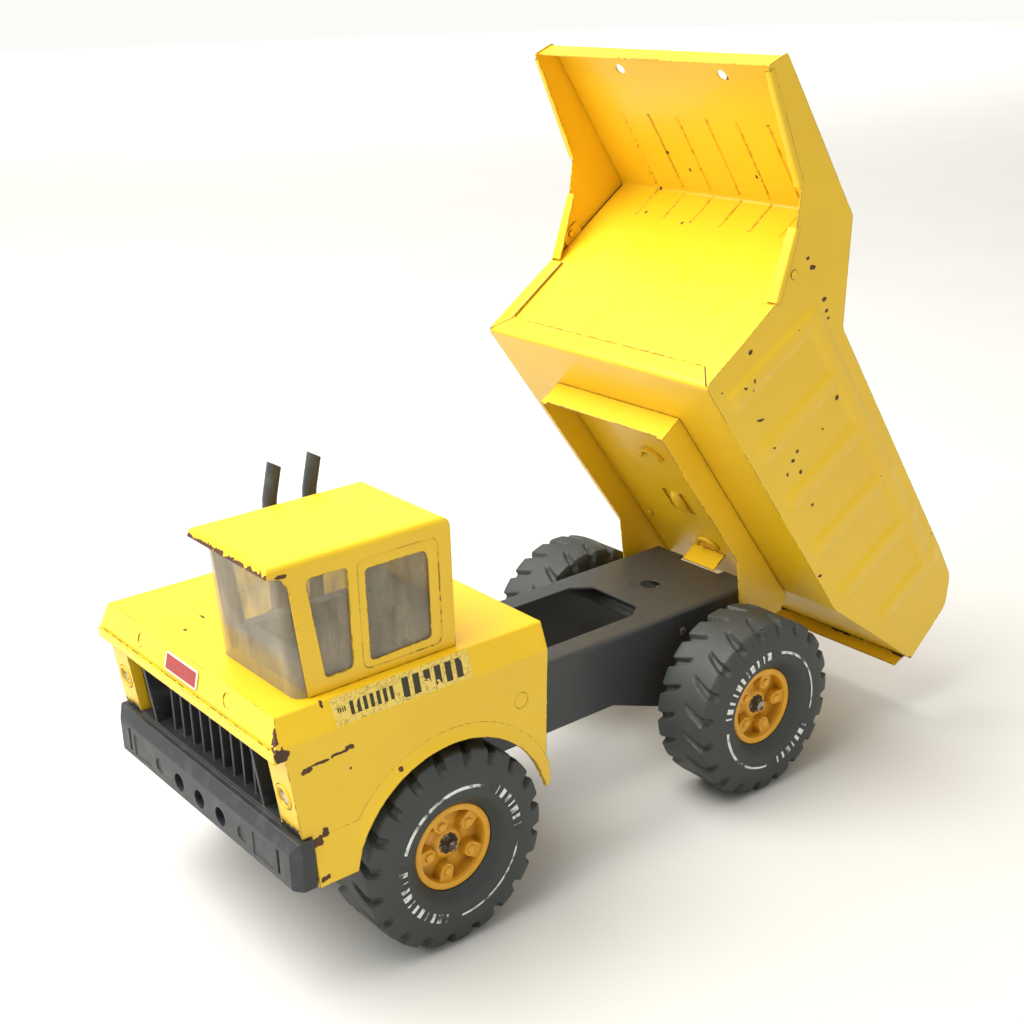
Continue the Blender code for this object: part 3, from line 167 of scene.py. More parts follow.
def make_light():
    """Square softboxes, and a sky that is brighter overhead."""
    for name, (place, width, watts) in SOFTBOXES.items():
        lamp_data = bpy.data.lights.new(name, "AREA")
        lamp_data.size = width
        lamp_data.energy = watts
        lamp_data.color = (1.0, 0.99, 0.965)
        lamp = bpy.data.objects.new(name, lamp_data)
        lamp.location = place
        aim = Vector(place) if name == "softbox" else Vector((0, 0, 1))
        lamp.rotation_euler = aim.to_track_quat("Z", "Y").to_euler()
        lamp.visible_glossy = name == "softbox"
        bpy.context.scene.collection.objects.link(lamp)
    world = bpy.data.worlds.new("studio_sky")
    bpy.context.scene.world = world
    world.use_nodes = True
    tree = world.node_tree
    tree.nodes.clear()
    direction = add(tree, "TexCoord", give="Generated")
    height = add(tree, "SeparateXYZ", {"Vector": direction}, give="Z")
    glow = add(tree, "MapRange", {"Value": height, "From Min": 0.0, "From Max": 0.8,
                                  "To Min": SKY_LOW, "To Max": SKY_HIGH})
    band = add(tree, "MapRange", {"Value": height, "From Min": 0.02, "From Max": 0.10,
                                  "To Min": SKY_HORIZON - SKY_LOW, "To Max": 0.0})
    glow = add(tree, "Math", {0: glow, 1: band}, operation="ADD")
    sky = add(tree, "Background", {"Color": linear("#FFFEFB"), "Strength": glow})
    output = tree.nodes.new("ShaderNodeOutputWorld")
    tree.links.new(sky, output.inputs["Surface"])


make_floor()
make_light()
bpy.context.scene.view_settings.view_transform = "Standard"
print("studio ready")

# %% [markdown]
# ## Stoved enamel on pressed steel
# The yellow is stoved enamel, sprayed on thin steel sheet and baked. It is glossy, slightly uneven in tone,
# and it breaks off at the sheet's edges, where the steel goes brown. The wear could be painted by hand, but
# a recipe is steadier: a rounded-edge test finds the edges, coarse and fine noise break the line up, and a
# few named knocks put the big chips where this truck has them.

# %% Enamel recipe
EDGE_REACH = 0.9          # how far a chipped edge reaches over the sheet, in mm
SPECK_PITCH = 24.0        # typical distance between the small specks, in mm


def knock(tree, place, ragged, centre, size):
    """Return a mask of one knock: an ellipsoid of millimetres with a ragged outline."""
    offset = add(tree, "VectorMath", {0: place, 1: [c * MM for c in centre]}, operation="SUBTRACT")
    scaled = add(tree, "VectorMath", {0: offset, 1: [1.0 / (s * MM) for s in size]}, operation="MULTIPLY")
    reach = add(tree, "VectorMath", {0: scaled}, give="Value", operation="LENGTH")
    rough_reach = add(tree, "Math", {0: ragged, 1: 1.6, 2: reach}, operation="MULTIPLY_ADD")
    return add(tree, "Math", {0: rough_reach, 1: 1.7}, operation="LESS_THAN")


def enamel_on_steel(name, paint, deep, chip_share, knocks=(), speck_share=0.12, shade_and_dirt_share=0.35, gloss=0.30,
                    shade_and_dirt_colour="#4A3A1C"):
    """Enamel with chipped edges; chip_share is how much of the edges is bare."""
    material, tree, place = start_material(name)
    # Rounded edges: the difference between the true normal and a rounded one marks each edge
    rounded = add(tree, "Bevel", {"Radius": EDGE_REACH * MM}, samples=6)
    normal = add(tree, "NewGeometry", give="Normal")
    along = add(tree, "VectorMath", {0: rounded, 1: normal}, give="Value", operation="DOT_PRODUCT")
    edge = add(tree, "MapRange", {"Value": along, "From Min": 0.995, "From Max": 0.86})
    patches = add(tree, "TexNoise", {"Vector": place, "Scale": across(26), "Detail": 2.0})
    nibbles = add(tree, "TexNoise", {"Vector": place, "Scale": across(3.2), "Detail": 3.0})
    both = add(tree, "Math", {0: patches, 1: nibbles}, operation="ADD")
    open_edge = add(tree, "MapRange", {"Value": both, "From Min": 1.16 - 0.30 * chip_share,
                                       "From Max": 1.22 - 0.30 * chip_share})
    chips = add(tree, "Math", {0: edge, 1: open_edge}, operation="MULTIPLY")
    # Small specks where the paint has popped off the flat sheet
    cells = add(tree, "TexVoronoi", {"Vector": place, "Scale": across(SPECK_PITCH)}, give="Distance")
    lottery = add(tree, "SeparateXYZ", {"Vector": cells.node.outputs["Color"]}, give="X")
    picked = add(tree, "Math", {0: lottery, 1: speck_share}, operation="LESS_THAN")
    wobble = add(tree, "Math", {0: nibbles, 1: 0.055, 2: cells}, operation="MULTIPLY_ADD")
    spot = add(tree, "Math", {0: wobble, 1: 0.058}, operation="LESS_THAN")
    specks = add(tree, "Math", {0: picked, 1: spot}, operation="MULTIPLY")
    bare = add(tree, "Math", {0: chips, 1: specks}, operation="MAXIMUM")
    for centre, size in knocks:
        struck = knock(tree, place, nibbles, centre, size)
        bare = add(tree, "Math", {0: bare, 1: struck}, operation="MAXIMUM")
    # Paint: a slow drift of tone, painted shade with dirt in the corners and creases, and a faint orange
    # peel
    drift = add(tree, "TexNoise", {"Vector": place, "Scale": across(70), "Detail": 4.0})
    tone = add(tree, "MixRGB", {"Fac": drift, "Color1": linear(paint), "Color2": linear(deep)})
    # Painted shade with dirt: the AO node darkens corners and creases toward a dark brown, in smeared
    # patches
    open_air = add(tree, "AmbientOcclusion", {"Distance": 7 * MM}, give="AO", samples=6)
    smears = add(tree, "TexNoise", {"Vector": place, "Scale": across(9), "Detail": 5.0})
    shut_in = add(tree, "MapRange", {"Value": open_air, "From Min": 0.75, "From Max": 0.15,
                                     "To Min": 0.0, "To Max": shade_and_dirt_share})
    shade_and_dirt = add(tree, "Math", {0: shut_in, 1: smears}, operation="MULTIPLY")
    shaded_and_soiled = add(tree, "MixRGB", {"Fac": shade_and_dirt, "Color1": tone, "Color2": linear(shade_and_dirt_colour)})
    rust = add(tree, "MixRGB", {"Fac": smears, "Color1": linear("#281812"), "Color2": linear("#6E4226")})
    colour = add(tree, "MixRGB", {"Fac": bare, "Color1": shaded_and_soiled, "Color2": rust})
    shine = add(tree, "MapRange", {"Value": smears, "From Min": 0.3, "From Max": 0.75,
                                   "To Min": gloss, "To Max": gloss + 0.14})
    dullness = add(tree, "MixRGB", {"Fac": bare, "Color1": shine, "Color2": (0.8, 0.8, 0.8, 1)})
    peel = add(tree, "TexNoise", {"Vector": place, "Scale": across(2.4), "Detail": 1.0})
    whole = add(tree, "Math", {0: 1.0, 1: bare}, operation="SUBTRACT")
    surface = add(tree, "Math", {0: peel, 1: 0.10, 2: whole}, operation="MULTIPLY_ADD")
    bump = add(tree, "Bump", {"Height": surface, "Distance": 0.12 * MM, "Strength": 0.6, "Normal": rounded})
    close_material(tree, {"Base Color": colour, "Roughness": dullness, "Normal": bump, "IOR": 1.5,
                          "Coat Weight": 0.12, "Coat Roughness": 0.12})
    return material


YELLOW = "#F4CB1E"
YELLOW_DEEP = "#EABC1A"

# %% [markdown]
# Each painted pressing has its own knocks. The hood has a torn corner and a long scratch on its left side,
# the cab's visor has lost its paint along the front edge, and the bed is peppered where loads hit its side.

# %% Enamel for each pressing
BED_TILT = math.radians(55)
BED_PIN = Vector(next(j for j in frame["joints"] if j["name"] == "bed_tilt")["pos_m"]) / MM
PIN_IN_BED = (193.3, -33.9)      # the pin in the bed's own frame: back along the floor, and up


def bed_point(x, back, up):
    """Return a point of the tipped bed, in mm, from its place along and above the bed's floor."""
    along = back - PIN_IN_BED[0]
    above = up - PIN_IN_BED[1]
    y = BED_PIN.y + along * math.cos(BED_TILT) + above * math.sin(BED_TILT)
    z = BED_PIN.z - along * math.sin(BED_TILT) + above * math.cos(BED_TILT)
    return (x, y, z)


hood_low, hood_high = (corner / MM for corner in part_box("front_body"))
SIDE = hood_high.x
HOOD_KNOCKS = [
    ((SIDE, -242, 134), (5.5, 4.0, 2.0)), ((SIDE, -233, 135.6), (4, 7.0, 0.9)),
    ((SIDE, -223, 136.6), (4, 6.0, 0.9)), ((SIDE, -217, 138), (3, 2.5, 1.7)),
    ((SIDE, -189, 115), (2.5, 1.6, 1.6)), ((SIDE, -239, 94), (6, 4.5, 3.0)),
    ((SIDE, -234, 97.5), (4, 2.2, 3.2)), ((SIDE, -238, 74), (6, 4.0, 2.2)),
    ((SIDE - 3, -256, 158), (3, 2.2, 9.0)), ((SIDE - 1, -254, 147), (3.5, 5.0, 4.0)),
    ((-37, -223, 163.8), (3.6, 0.9, 2)), ((-28, -238, 163.8), (1.5, 1.2, 2)),
    ((SIDE - 6, -228, 162), (2.0, 1.2, 3)),
]
CAB_KNOCKS = [((x, -248.5, 231), (9.0, 1.7, 3.2)) for x in range(10, 86, 10)]
CAB_KNOCKS.append(((84.6, -240, 229.5), (2.0, 3.0, 1.2)))
BED_KNOCKS = []
for back, up, wide, tall in ((24, 28, 1.1, 3.0), (22, 21, 2.2, 1.2), (27, 25, 1.0, 2.0), (48, 20, 3.6, 0.9),
                             (69, 18, 1.9, 1.0), (88, 32, 1.3, 1.3), (90, 26, 1.9, 1.2), (101, 27, 1.4, 1.7),
                             (94, 18, 1.0, 1.5), (93, 55, 1.0, 1.0), (86, 74, 1.5, 2.1), (4, 99, 3.0, 1.8),
                             (-3, 99, 1.6, 1.2), (27, 97, 2.6, 1.5), (34, 95, 1.7, 1.5), (39, 94, 1.4, 1.0),
                             (9, 36, 1.8, 1.8), (127, 23, 1.3, 1.0), (173, 3, 2.0, 1.0)):
    BED_KNOCKS.append((bed_point(SIDE, back, up), (3.0, wide, tall)))
BED_KNOCKS += [(bed_point(x, 299.5, 31.0), (15.0, 2.4, 2.4)) for x in (86, 44, -20, -72)]
BOARD_KNOCKS = [(bed_point(x, back, up), (1.2, 1.6, 1.6)) for x, back, up in
                ((-58, 1, 139), (-54, 1, 118), (-18, 1, 114), (-62, -12, 140), (-22, -18, 140),
                 (34, -19, 140), (16, -62, 140), (-35, -30, 140), (45, -90, 143))]
BOARD_KNOCKS += [(bed_point(x, -108.5, 145.8), (wide, 1.5, 1.5)) for x, wide in
                 ((-94, 5.0), (-66, 9.0), (-30, 3.0), (12, 7.0), (47, 2.5), (92, 6.0))]
# After the knocks: the share of specks, then how strong the painted shade with dirt in the corners is
hood_enamel = enamel_on_steel("stoved_enamel_hood", YELLOW, YELLOW_DEEP, 0.55, HOOD_KNOCKS)
cab_enamel = enamel_on_steel("stoved_enamel_cab", YELLOW, YELLOW_DEEP, 0.50, CAB_KNOCKS, 0.05)
bed_enamel = enamel_on_steel("stoved_enamel_bed", YELLOW, YELLOW_DEEP, 0.85, BED_KNOCKS, 0.16, 0.5)
board_enamel = enamel_on_steel("stoved_enamel_headboard", YELLOW, YELLOW_DEEP, 0.45, BOARD_KNOCKS,
                               0.14, 0.22)
pan_enamel = enamel_on_steel("stoved_enamel_pan", YELLOW, YELLOW_DEEP, 0.65, (), 0.10, 0.9)
print("knocks:", len(HOOD_KNOCKS) + len(CAB_KNOCKS) + len(BED_KNOCKS) + len(BOARD_KNOCKS))

# %% [markdown]
# ## Dark finishes
# The chassis is the same kind of enamel in a green black, rubbed down to pale steel in places. The bumper
# and the stacks are black polyethylene, moulded, which scuffs grey. Both could be one dark material, but
# their gloss differs: enamel reflects in a hard line, polyethylene in a broad haze.


# %% Chassis enamel, polyethylene and the cab's inside
def scuffed_plastic(name, body, scuff, rough, dust=0.25, grain_mm=0.5):
    """Moulded plastic: even colour, scuffed high spots, dust in its corners and a fine grain."""
    material, tree, place = start_material(name)
    rounded = add(tree, "Bevel", {"Radius": 0.7 * MM}, samples=4)
    normal = add(tree, "NewGeometry", give="Normal")
    along = add(tree, "VectorMath", {0: rounded, 1: normal}, give="Value", operation="DOT_PRODUCT")
    edge = add(tree, "MapRange", {"Value": along, "From Min": 1.0, "From Max": 0.85, "To Max": 0.5})
    cloud = add(tree, "TexNoise", {"Vector": place, "Scale": across(14), "Detail": 6.0, "Roughness": 0.65})
    worn = add(tree, "MapRange", {"Value": cloud, "From Min": 0.52, "From Max": 0.75, "To Max": 0.55})
    handled = add(tree, "Math", {0: worn, 1: edge}, operation="ADD")
    tone = add(tree, "MixRGB", {"Fac": handled, "Color1": linear(body), "Color2": linear(scuff)})
    open_air = add(tree, "AmbientOcclusion", {"Distance": 6 * MM}, give="AO", samples=4)
    shut_in = add(tree, "MapRange", {"Value": open_air, "From Min": 0.8, "From Max": 0.3, "To Max": dust})
    dusty = add(tree, "Math", {0: shut_in, 1: cloud}, operation="MULTIPLY")
    colour = add(tree, "MixRGB", {"Fac": dusty, "Color1": tone, "Color2": linear("#8A8470")})
    gloss = add(tree, "MapRange", {"Value": cloud, "From Min": 0.35, "From Max": 0.7,
                                   "To Min": rough - 0.08, "To Max": rough + 0.12})
    grain = add(tree, "TexNoise", {"Vector": place, "Scale": across(grain_mm), "Detail": 2.0})
    bump = add(tree, "Bump", {"Height": grain, "Distance": 0.06 * MM, "Strength": 0.5, "Normal": rounded})
    close_material(tree, {"Base Color": colour, "Roughness": gloss, "Normal": bump, "IOR": 1.5})
    return material


chassis_enamel = enamel_on_steel("stoved_enamel_chassis", "#3C3F42", "#363A39", 0.30, (), 0.05, 0.4, 0.36,
                                 "#1E1F1A")
bumper_plastic = scuffed_plastic("polyethylene_bumper", "#2A2C30", "#55575A", 0.46, 0.45)
stack_plastic = scuffed_plastic("polyethylene_stack", "#3A3D3F", "#606365", 0.42)
cab_plastic = scuffed_plastic("polystyrene_cab_inside", "#7C808A", "#9A9CA2", 0.50, 0.3)
print("dark finishes ready")

# %% [markdown]
# ## Tyre rubber, sidewall paint and hub plastic
# The tyres are a soft black moulding, dull and dusty, with a raised ring that was painted white and has
# since rubbed thin. The paint could be a mask in the rubber, but it lies only on the raised faces, so those
# faces get their own slot. The hubs are moulded in orange-yellow, with painted shade darkening the dish
# round the axle.


# %% Rubber, paint and hub recipes
def moulded_rubber():
    material, tree, place = start_material("moulded_tyre_rubber")
    cloud = add(tree, "TexNoise", {"Vector": place, "Scale": across(18), "Detail": 6.0, "Roughness": 0.6})
    scrapes = add(tree, "TexNoise", {"Vector": place, "Scale": across(2.2), "Detail": 4.0})
    tone = add(tree, "MixRGB", {"Fac": cloud, "Color1": linear("#2E3231"), "Color2": linear("#424644")})
    open_air = add(tree, "AmbientOcclusion", {"Distance": 5 * MM}, give="AO", samples=4)
    shut_in = add(tree, "MapRange", {"Value": open_air, "From Min": 0.9, "From Max": 0.4, "To Max": 0.5})
    dusty = add(tree, "Math", {0: shut_in, 1: scrapes}, operation="MULTIPLY")
    colour = add(tree, "MixRGB", {"Fac": dusty, "Color1": tone, "Color2": linear("#55564E")})
    gloss = add(tree, "MapRange", {"Value": cloud, "From Min": 0.3, "From Max": 0.7,
                                   "To Min": 0.48, "To Max": 0.66})
    bump = add(tree, "Bump", {"Height": scrapes, "Distance": 0.15 * MM, "Strength": 0.35})
    close_material(tree, {"Base Color": colour, "Roughness": gloss, "Normal": bump, "IOR": 1.5})
    return material


def worn_sidewall_paint():
    material, tree, place = start_material("worn_white_sidewall_paint")
    patches = add(tree, "TexNoise", {"Vector": place, "Scale": across(5), "Detail": 4.0})
    left = add(tree, "MapRange", {"Value": patches, "From Min": 0.36, "From Max": 0.50})
    colour = add(tree, "MixRGB", {"Fac": left, "Color1": linear("#4A4B4A"), "Color2": linear("#E6E6E0")})
    close_material(tree, {"Base Color": colour, "Roughness": 0.6})
    return material


def moulded_hub_plastic():
    material, tree, place = start_material("moulded_hub_plastic")
    cloud = add(tree, "TexNoise", {"Vector": place, "Scale": across(12), "Detail": 4.0})
    tone = add(tree, "MixRGB", {"Fac": cloud, "Color1": linear("#F0B428"), "Color2": linear("#E4A01C")})
    # Painted shade: the AO node darkens the dish and the hollows round the axle toward dark brown
    open_air = add(tree, "AmbientOcclusion", {"Distance": 9 * MM}, give="AO", samples=6)
    shut_in = add(tree, "MapRange", {"Value": open_air, "From Min": 0.85, "From Max": 0.25, "To Max": 0.8})
    colour = add(tree, "MixRGB", {"Fac": shut_in, "Color1": tone, "Color2": linear("#7E4E0C")})
    bump = add(tree, "Bump", {"Height": cloud, "Distance": 0.1 * MM, "Strength": 0.3})
    close_material(tree, {"Base Color": colour, "Roughness": 0.38, "Normal": bump, "IOR": 1.5})
    return material


rubber = moulded_rubber()
sidewall_paint = worn_sidewall_paint()
hub_plastic = moulded_hub_plastic()
print("wheel finishes ready")


# %% [markdown]
# ## Metal, lamps and glazing
# Axles, pins and push nuts are zinc-plated steel that has gone grey and brown. The lamps are bright-plated
# cups, tarnished. The windows are one smoke-tinted clear moulding: real refraction would be truest, but thin
# tinted sheet mostly just dims what lies behind it, so part of the light passes straight through.


# %% Zinc, lamp plating and glazing recipes
def aged_metal(name, bright, stain, rough, stain_share):
    material, tree, place = start_material(name)
    cloud = add(tree, "TexNoise", {"Vector": place, "Scale": across(3), "Detail": 5.0})
    stained = add(tree, "MapRange", {"Value": cloud, "From Min": 0.62 - stain_share * 0.3,
                                     "From Max": 0.72 - stain_share * 0.3})
    colour = add(tree, "MixRGB", {"Fac": stained, "Color1": linear(bright), "Color2": linear(stain)})
    metal = add(tree, "MapRange", {"Value": stained, "To Min": 1.0, "To Max": 0.15})
    gloss = add(tree, "MapRange", {"Value": stained, "To Min": rough, "To Max": 0.75})
    bump = add(tree, "Bump", {"Height": cloud, "Distance": 0.1 * MM, "Strength": 0.4})
    close_material(tree, {"Base Color": colour, "Metallic": metal, "Roughness": gloss, "Normal": bump})
    return material


def smoked_polystyrene():
    material, tree, place = start_material("smoked_clear_polystyrene")
    haze = add(tree, "TexNoise", {"Vector": place, "Scale": across(28), "Detail": 3.0})
    streaks = add(tree, "Mapping", {"Vector": place, "Scale": (1.0, 1.0, 0.25)})
    wiped = add(tree, "TexNoise", {"Vector": streaks, "Scale": across(5), "Detail": 3.0})
    milky = add(tree, "Math", {0: haze, 1: wiped}, operation="MULTIPLY")
    seen = add(tree, "MapRange", {"Value": milky, "From Min": 0.12, "From Max": 0.40,
                                  "To Min": 0.24, "To Max": 0.58})
    colour = add(tree, "MixRGB", {"Fac": haze, "Color1": linear("#958B76"), "Color2": linear("#B0A488")})
    close_material(tree, {"Base Color": colour, "Roughness": 0.09, "Alpha": seen, "IOR": 1.58})
    return material


zinc = aged_metal("zinc_plated_steel", "#A9A69C", "#5B4632", 0.34, 0.55)
nut_steel = aged_metal("grimy_push_nut_steel", "#8E897C", "#463A2C", 0.40, 0.75)
lamp_plating = aged_metal("tarnished_lamp_plating", "#C9BB9A", "#8A6A3A", 0.28, 0.45)
glazing = smoked_polystyrene()
print("metal and glazing ready")

# %% [markdown]
# ## Turning points into pieces
# Every added piece is a grid of points: rings round an axle, or rows along a sheet. Blender's own primitives
# would need cutting and bending into these shapes, while a grid takes any shape at once, so one function
# joins the rows, gives the faces their finish and hangs the piece on its moving body.


# %% Grid to piece
def soft_step(value, low, high):
    """Rise smoothly from 0 at low to 1 at high."""
    t = min(1.0, max(0.0, (value - low) / (high - low)))
    return t * t * (3 - 2 * t)


def make_piece(name, rows, finishes, body, closed=(False, False), sharp=40, pick=None, face_out=None):
    """Join rows of points in mm into one piece; closed tells whether rows and columns meet their start."""
    mesh = bmesh.new()
    grid = [[mesh.verts.new(Vector(point) * MM) for point in row] for row in rows]
    row_count = len(grid)
    column_count = len(grid[0])
    for row in range(row_count if closed[0] else row_count - 1):
        after = (row + 1) % row_count
        for column in range(column_count if closed[1] else column_count - 1):
            beside = (column + 1) % column_count
            face = mesh.faces.new((grid[row][column], grid[after][column],
                                   grid[after][beside], grid[row][beside]))
            face.smooth = True
            if pick:
                face.material_index = pick(row, column)
    bmesh.ops.recalc_face_normals(mesh, faces=mesh.faces)
    if face_out and sum((face.normal * face.calc_area() for face in mesh.faces), Vector()).dot(face_out) < 0:
        bmesh.ops.reverse_faces(mesh, faces=mesh.faces)
    data = bpy.data.meshes.new(name)
    mesh.to_mesh(data)
    mesh.free()
    data.set_sharp_from_angle(angle=math.radians(sharp))
    piece = bpy.data.objects.new(name, data)
    bpy.context.scene.collection.objects.link(piece)
    for finish in finishes:
        data.materials.append(finish)
    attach(piece, body)
    return piece


def box_mm(node):
    """Return a node's lowest and highest corner in mm."""
    return tuple(Vector(corner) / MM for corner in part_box(node))


def turned(side, centre_y, centre_z, radius, angle, x):
    """Return the point at a radius and an angle round an axle, x out from the middle."""
    return (side * x, centre_y + radius * math.cos(angle), centre_z + radius * math.sin(angle))


print("a tyre is", round(box_mm("tyre_front_left")[1].z), "mm high")

# %% [markdown]
# ## Tyres
# Each tyre is a deep-lugged moulding. The lugs could be cut with Booleans, but every point of a tyre is a
# place along its section and an angle round its axle, so it is simpler to draw the section once, sweep it
# round, and sink each point by how far it lies in a groove. The grooves run in from both shoulders, half a
# lug apart, and stop short of the middle. A raised ring and plain bars stand on the outer wall.

# %% Tyre geometry
LUGS = 20
TYRE_STEPS = LUGS * 22
GROOVE_DEPTH = 3.2
GROOVE_SHARE = 0.30        # share of each lug's pitch that the groove takes at the shoulder
RING_RADIUS = 37.1
RING_HALF = 0.5
RING_PROUD = 0.5
BAR_HALF = 2.3             # half the height of the plain bars
RING_ARCS = ((65, 160), (266, 348))
BAR_ARCS = ((170, 256), (358, 415))
BAR_PITCH = 7.5


def smooth_line(corners, pieces):
    """Return points on a Catmull-Rom curve through the corners."""
    points = []
    for index in range(len(corners) - 1):
        a = Vector(corners[max(index - 1, 0)])
        b = Vector(corners[index])
        c = Vector(corners[index + 1])
        d = Vector(corners[min(index + 2, len(corners) - 1)])
        for step in range(pieces[index]):
            t = step / pieces[index]
            points.append(0.5 * (2 * b + (c - a) * t + (2 * a - 5 * b + 4 * c - d) * t * t
                                 + (3 * b - a - 3 * c + d) * t ** 3))
    points.append(Vector(corners[-1]))
    return points


def tyre_section(inner, outer, bulge_x, bore, radius):
    """Return the section as (radius, x) from the outer bead round the tread to the inner bead."""
    wall = bulge_x - outer
    corners = [(bore, outer - 4.6), (bore + 1.6, outer - 2.9), (bore + 5.5, outer + wall * 0.40)]
    corners += [(RING_RADIUS - 2.4, outer + wall * 0.92), (RING_RADIUS + 2.6, bulge_x)]
    corners += [(radius - 11, outer + wall * 0.85), (radius - 5.5, outer + wall * 0.35)]
    corners += [(radius - 1.6, outer - 1.0), (radius, outer - 4.0), (radius, (inner + outer) / 2)]
    corners += [(radius, inner + 4.0), (radius - 1.6, inner + 0.9), (radius - 9, inner), (bore + 7, inner)]
    corners += [(bore, inner + 3.0)]
    return smooth_line(corners, [2, 3, 5, 13, 7, 6, 5, 3, 22, 22, 3, 5, 4, 3])


def groove(angle, x, middle, half_width):
    """Return how deep in a groove a point of the tread is, from 0 to 1."""
    side = (x - middle) / half_width
    shift = 0.0 if side > 0 else 0.5
    from_middle = abs(side)
    turn = (angle / math.tau * LUGS + shift + 0.5 * max(0.0, 1 - from_middle) ** 1.5) % 1.0
    width = GROOVE_SHARE / 2 * (0.35 + 0.65 * min(1.0, from_middle))
    starts = soft_step(from_middle, 0.12, 0.40)
    return (1 - soft_step(abs(turn - 0.5), width - 0.05, width + 0.05)) * starts


def sidewall_relief(radius, degrees):
    """Return how far the ring and the plain bars stand out of the sidewall."""
    off_ring = abs(radius - RING_RADIUS)
    turn = degrees % 360
    if any(low <= place <= high for low, high in RING_ARCS for place in (turn, turn + 360)):
        return RING_PROUD * (1 - soft_step(off_ring, RING_HALF, RING_HALF + 0.5))
    if any(low <= place <= high for low, high in BAR_ARCS for place in (turn, turn + 360)):
        share = 0.30 + 0.22 * (int(degrees // BAR_PITCH) % 3)
        if abs((degrees / BAR_PITCH) % 1.0 - 0.5) < share / 2:
            return RING_PROUD * (1 - soft_step(off_ring, BAR_HALF, BAR_HALF + 0.4))
    return 0.0


def make_tyre(tag, side, phase):
    """A lugged tyre in the place of its plain solid."""
    low, high = box_mm("tyre_" + tag)
    centre_y = (low.y + high.y) / 2
    radius = (high.z - low.z) / 2
    inner, bulge_x = sorted((abs(low.x), abs(high.x)))
    outer = bulge_x - 3.0
    hub_low, hub_high = box_mm("hub_" + tag)
    bore = (hub_high.z - hub_low.z) / 2 + 0.3
    section = tyre_section(inner + 0.4, outer, bulge_x - RING_PROUD, bore, radius)
    middle = (inner + outer) / 2
    half_width = (outer - inner) / 2
    rows = []
    painted = []
    for index, point in enumerate(section):
        tangent = section[min(index + 1, len(section) - 1)] - section[max(index - 1, 0)]
        outward = Vector((-tangent.y, tangent.x)).normalized()
        on_tread = soft_step(point.x, radius - 9.0, radius - 4.0)
        on_wall = point.y > middle and point.x < radius - 12
        row = []
        marks = []
        for step in range(TYRE_STEPS):
            angle = math.tau * step / TYRE_STEPS
            sink = GROOVE_DEPTH * on_tread * groove(angle, point.y, middle, half_width)
            proud = sidewall_relief(point.x, math.degrees(angle) - phase) if on_wall else 0.0
            at = point + outward * (proud - sink)
            row.append(turned(side, centre_y, radius, at.x, angle, at.y))
            marks.append(proud > RING_PROUD * 0.6)
        rows.append(row)
        painted.append(marks)

    def pick(row, column):
        return int(painted[row][column] and painted[row][(column + 1) % TYRE_STEPS])

    tyre = make_piece("lugged_tyre_" + tag, rows, (rubber, sidewall_paint), "wheel_" + tag,
                      (True, True), 34, pick)
    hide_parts("tyre_" + tag)
    return tyre


# Each wheel: which side it is on, how its sidewall is turned and how its hub is turned, in degrees
WHEELS = {"front_left": (1, 0, 113), "front_right": (-1, 40, 20), "rear_left": (1, -82, 0),
          "rear_right": (-1, 150, 50)}
for tag, (side, tyre_phase, hub_phase) in WHEELS.items():
    tyre = make_tyre(tag, side, tyre_phase)
print("faces in a tyre:", len(tyre.data.polygons))

# %% [markdown]
# ## Hubs
# A hub is a dish inside a flat rim. Five rounded pads reach in from the rim, each with a lug, and the dish
# between them falls away into shadow. It could be joined from many small solids, but seen from the side it
# is one height for each radius and angle, so a polar grid gives soft moulded corners everywhere.

# %% Hub geometry
HUB_STEPS = 240
PAD_COUNT = 5
PAD_RADIUS = 14.6          # how far from the axle the lugs sit
PAD_HALF = 4.6
LUG_HALF = 2.3
RIM_INNER = 20.4


def hub_height(radius, angle, face):
    """Return how far out the hub's front stands at a radius and an angle."""
    pitch = math.tau / PAD_COUNT
    turn = (angle + pitch / 2) % pitch - pitch / 2
    along = radius * math.cos(turn)
    beside = radius * math.sin(turn)
    dish = face - 4.9 - 2.4 * soft_step(radius, 6.5, 11.0)
    lug_off = math.hypot(along - PAD_RADIUS, beside)
    reach = lug_off if along < PAD_RADIUS else abs(beside) * 0.95
    pad = 1 - soft_step(reach, PAD_HALF - 0.7, PAD_HALF + 0.4)
    lug = 1.3 * (1 - soft_step(lug_off, LUG_HALF - 0.2, LUG_HALF + 0.4))
    height = dish + pad * (face - 2.2 + lug - dish)
    rim = soft_step(radius, RIM_INNER - 0.6, RIM_INNER + 0.5)
    return height + rim * (face - height)


def make_hub(tag, side, phase):
    """A moulded hub with a dished front, open only for its axle."""
    low, high = box_mm("hub_" + tag)
    centre_y = (low.y + high.y) / 2
    centre_z = (low.z + high.z) / 2
    edge = (high.z - low.z) / 2
    back, face = sorted((abs(low.x), abs(high.x)))
    face -= 0.05
    axle_low, axle_high = box_mm(tag.split("_")[0] + "_axle")
    bore = (axle_high.z - axle_low.z) / 2 + 0.08
    sections = [(bore + (edge - 0.9 - bore) * index / 56, None) for index in range(57)]
    sections += [(edge - 0.4, face - 0.12), (edge, face - 0.6), (edge, face - 8), (edge, back + 1.8)]
    sections += [(edge - 3, back + 1.8), (edge - 4, face - 11), (bore + 2.8, face - 11)]
    sections += [(bore + 2.8, back + 0.1), (bore, back)]
    rows = []
    for radius, x in sections:
        row = []
        for step in range(HUB_STEPS):
            angle = math.tau * step / HUB_STEPS
            out = hub_height(radius, angle - math.radians(phase), face) if x is None else x
            row.append(turned(side, centre_y, centre_z, radius, angle, out))
        rows.append(row)
    hub = make_piece("moulded_hub_" + tag, rows, (hub_plastic,), "wheel_" + tag,
                     (True, True), 50)
    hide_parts("hub_" + tag)
    return hub


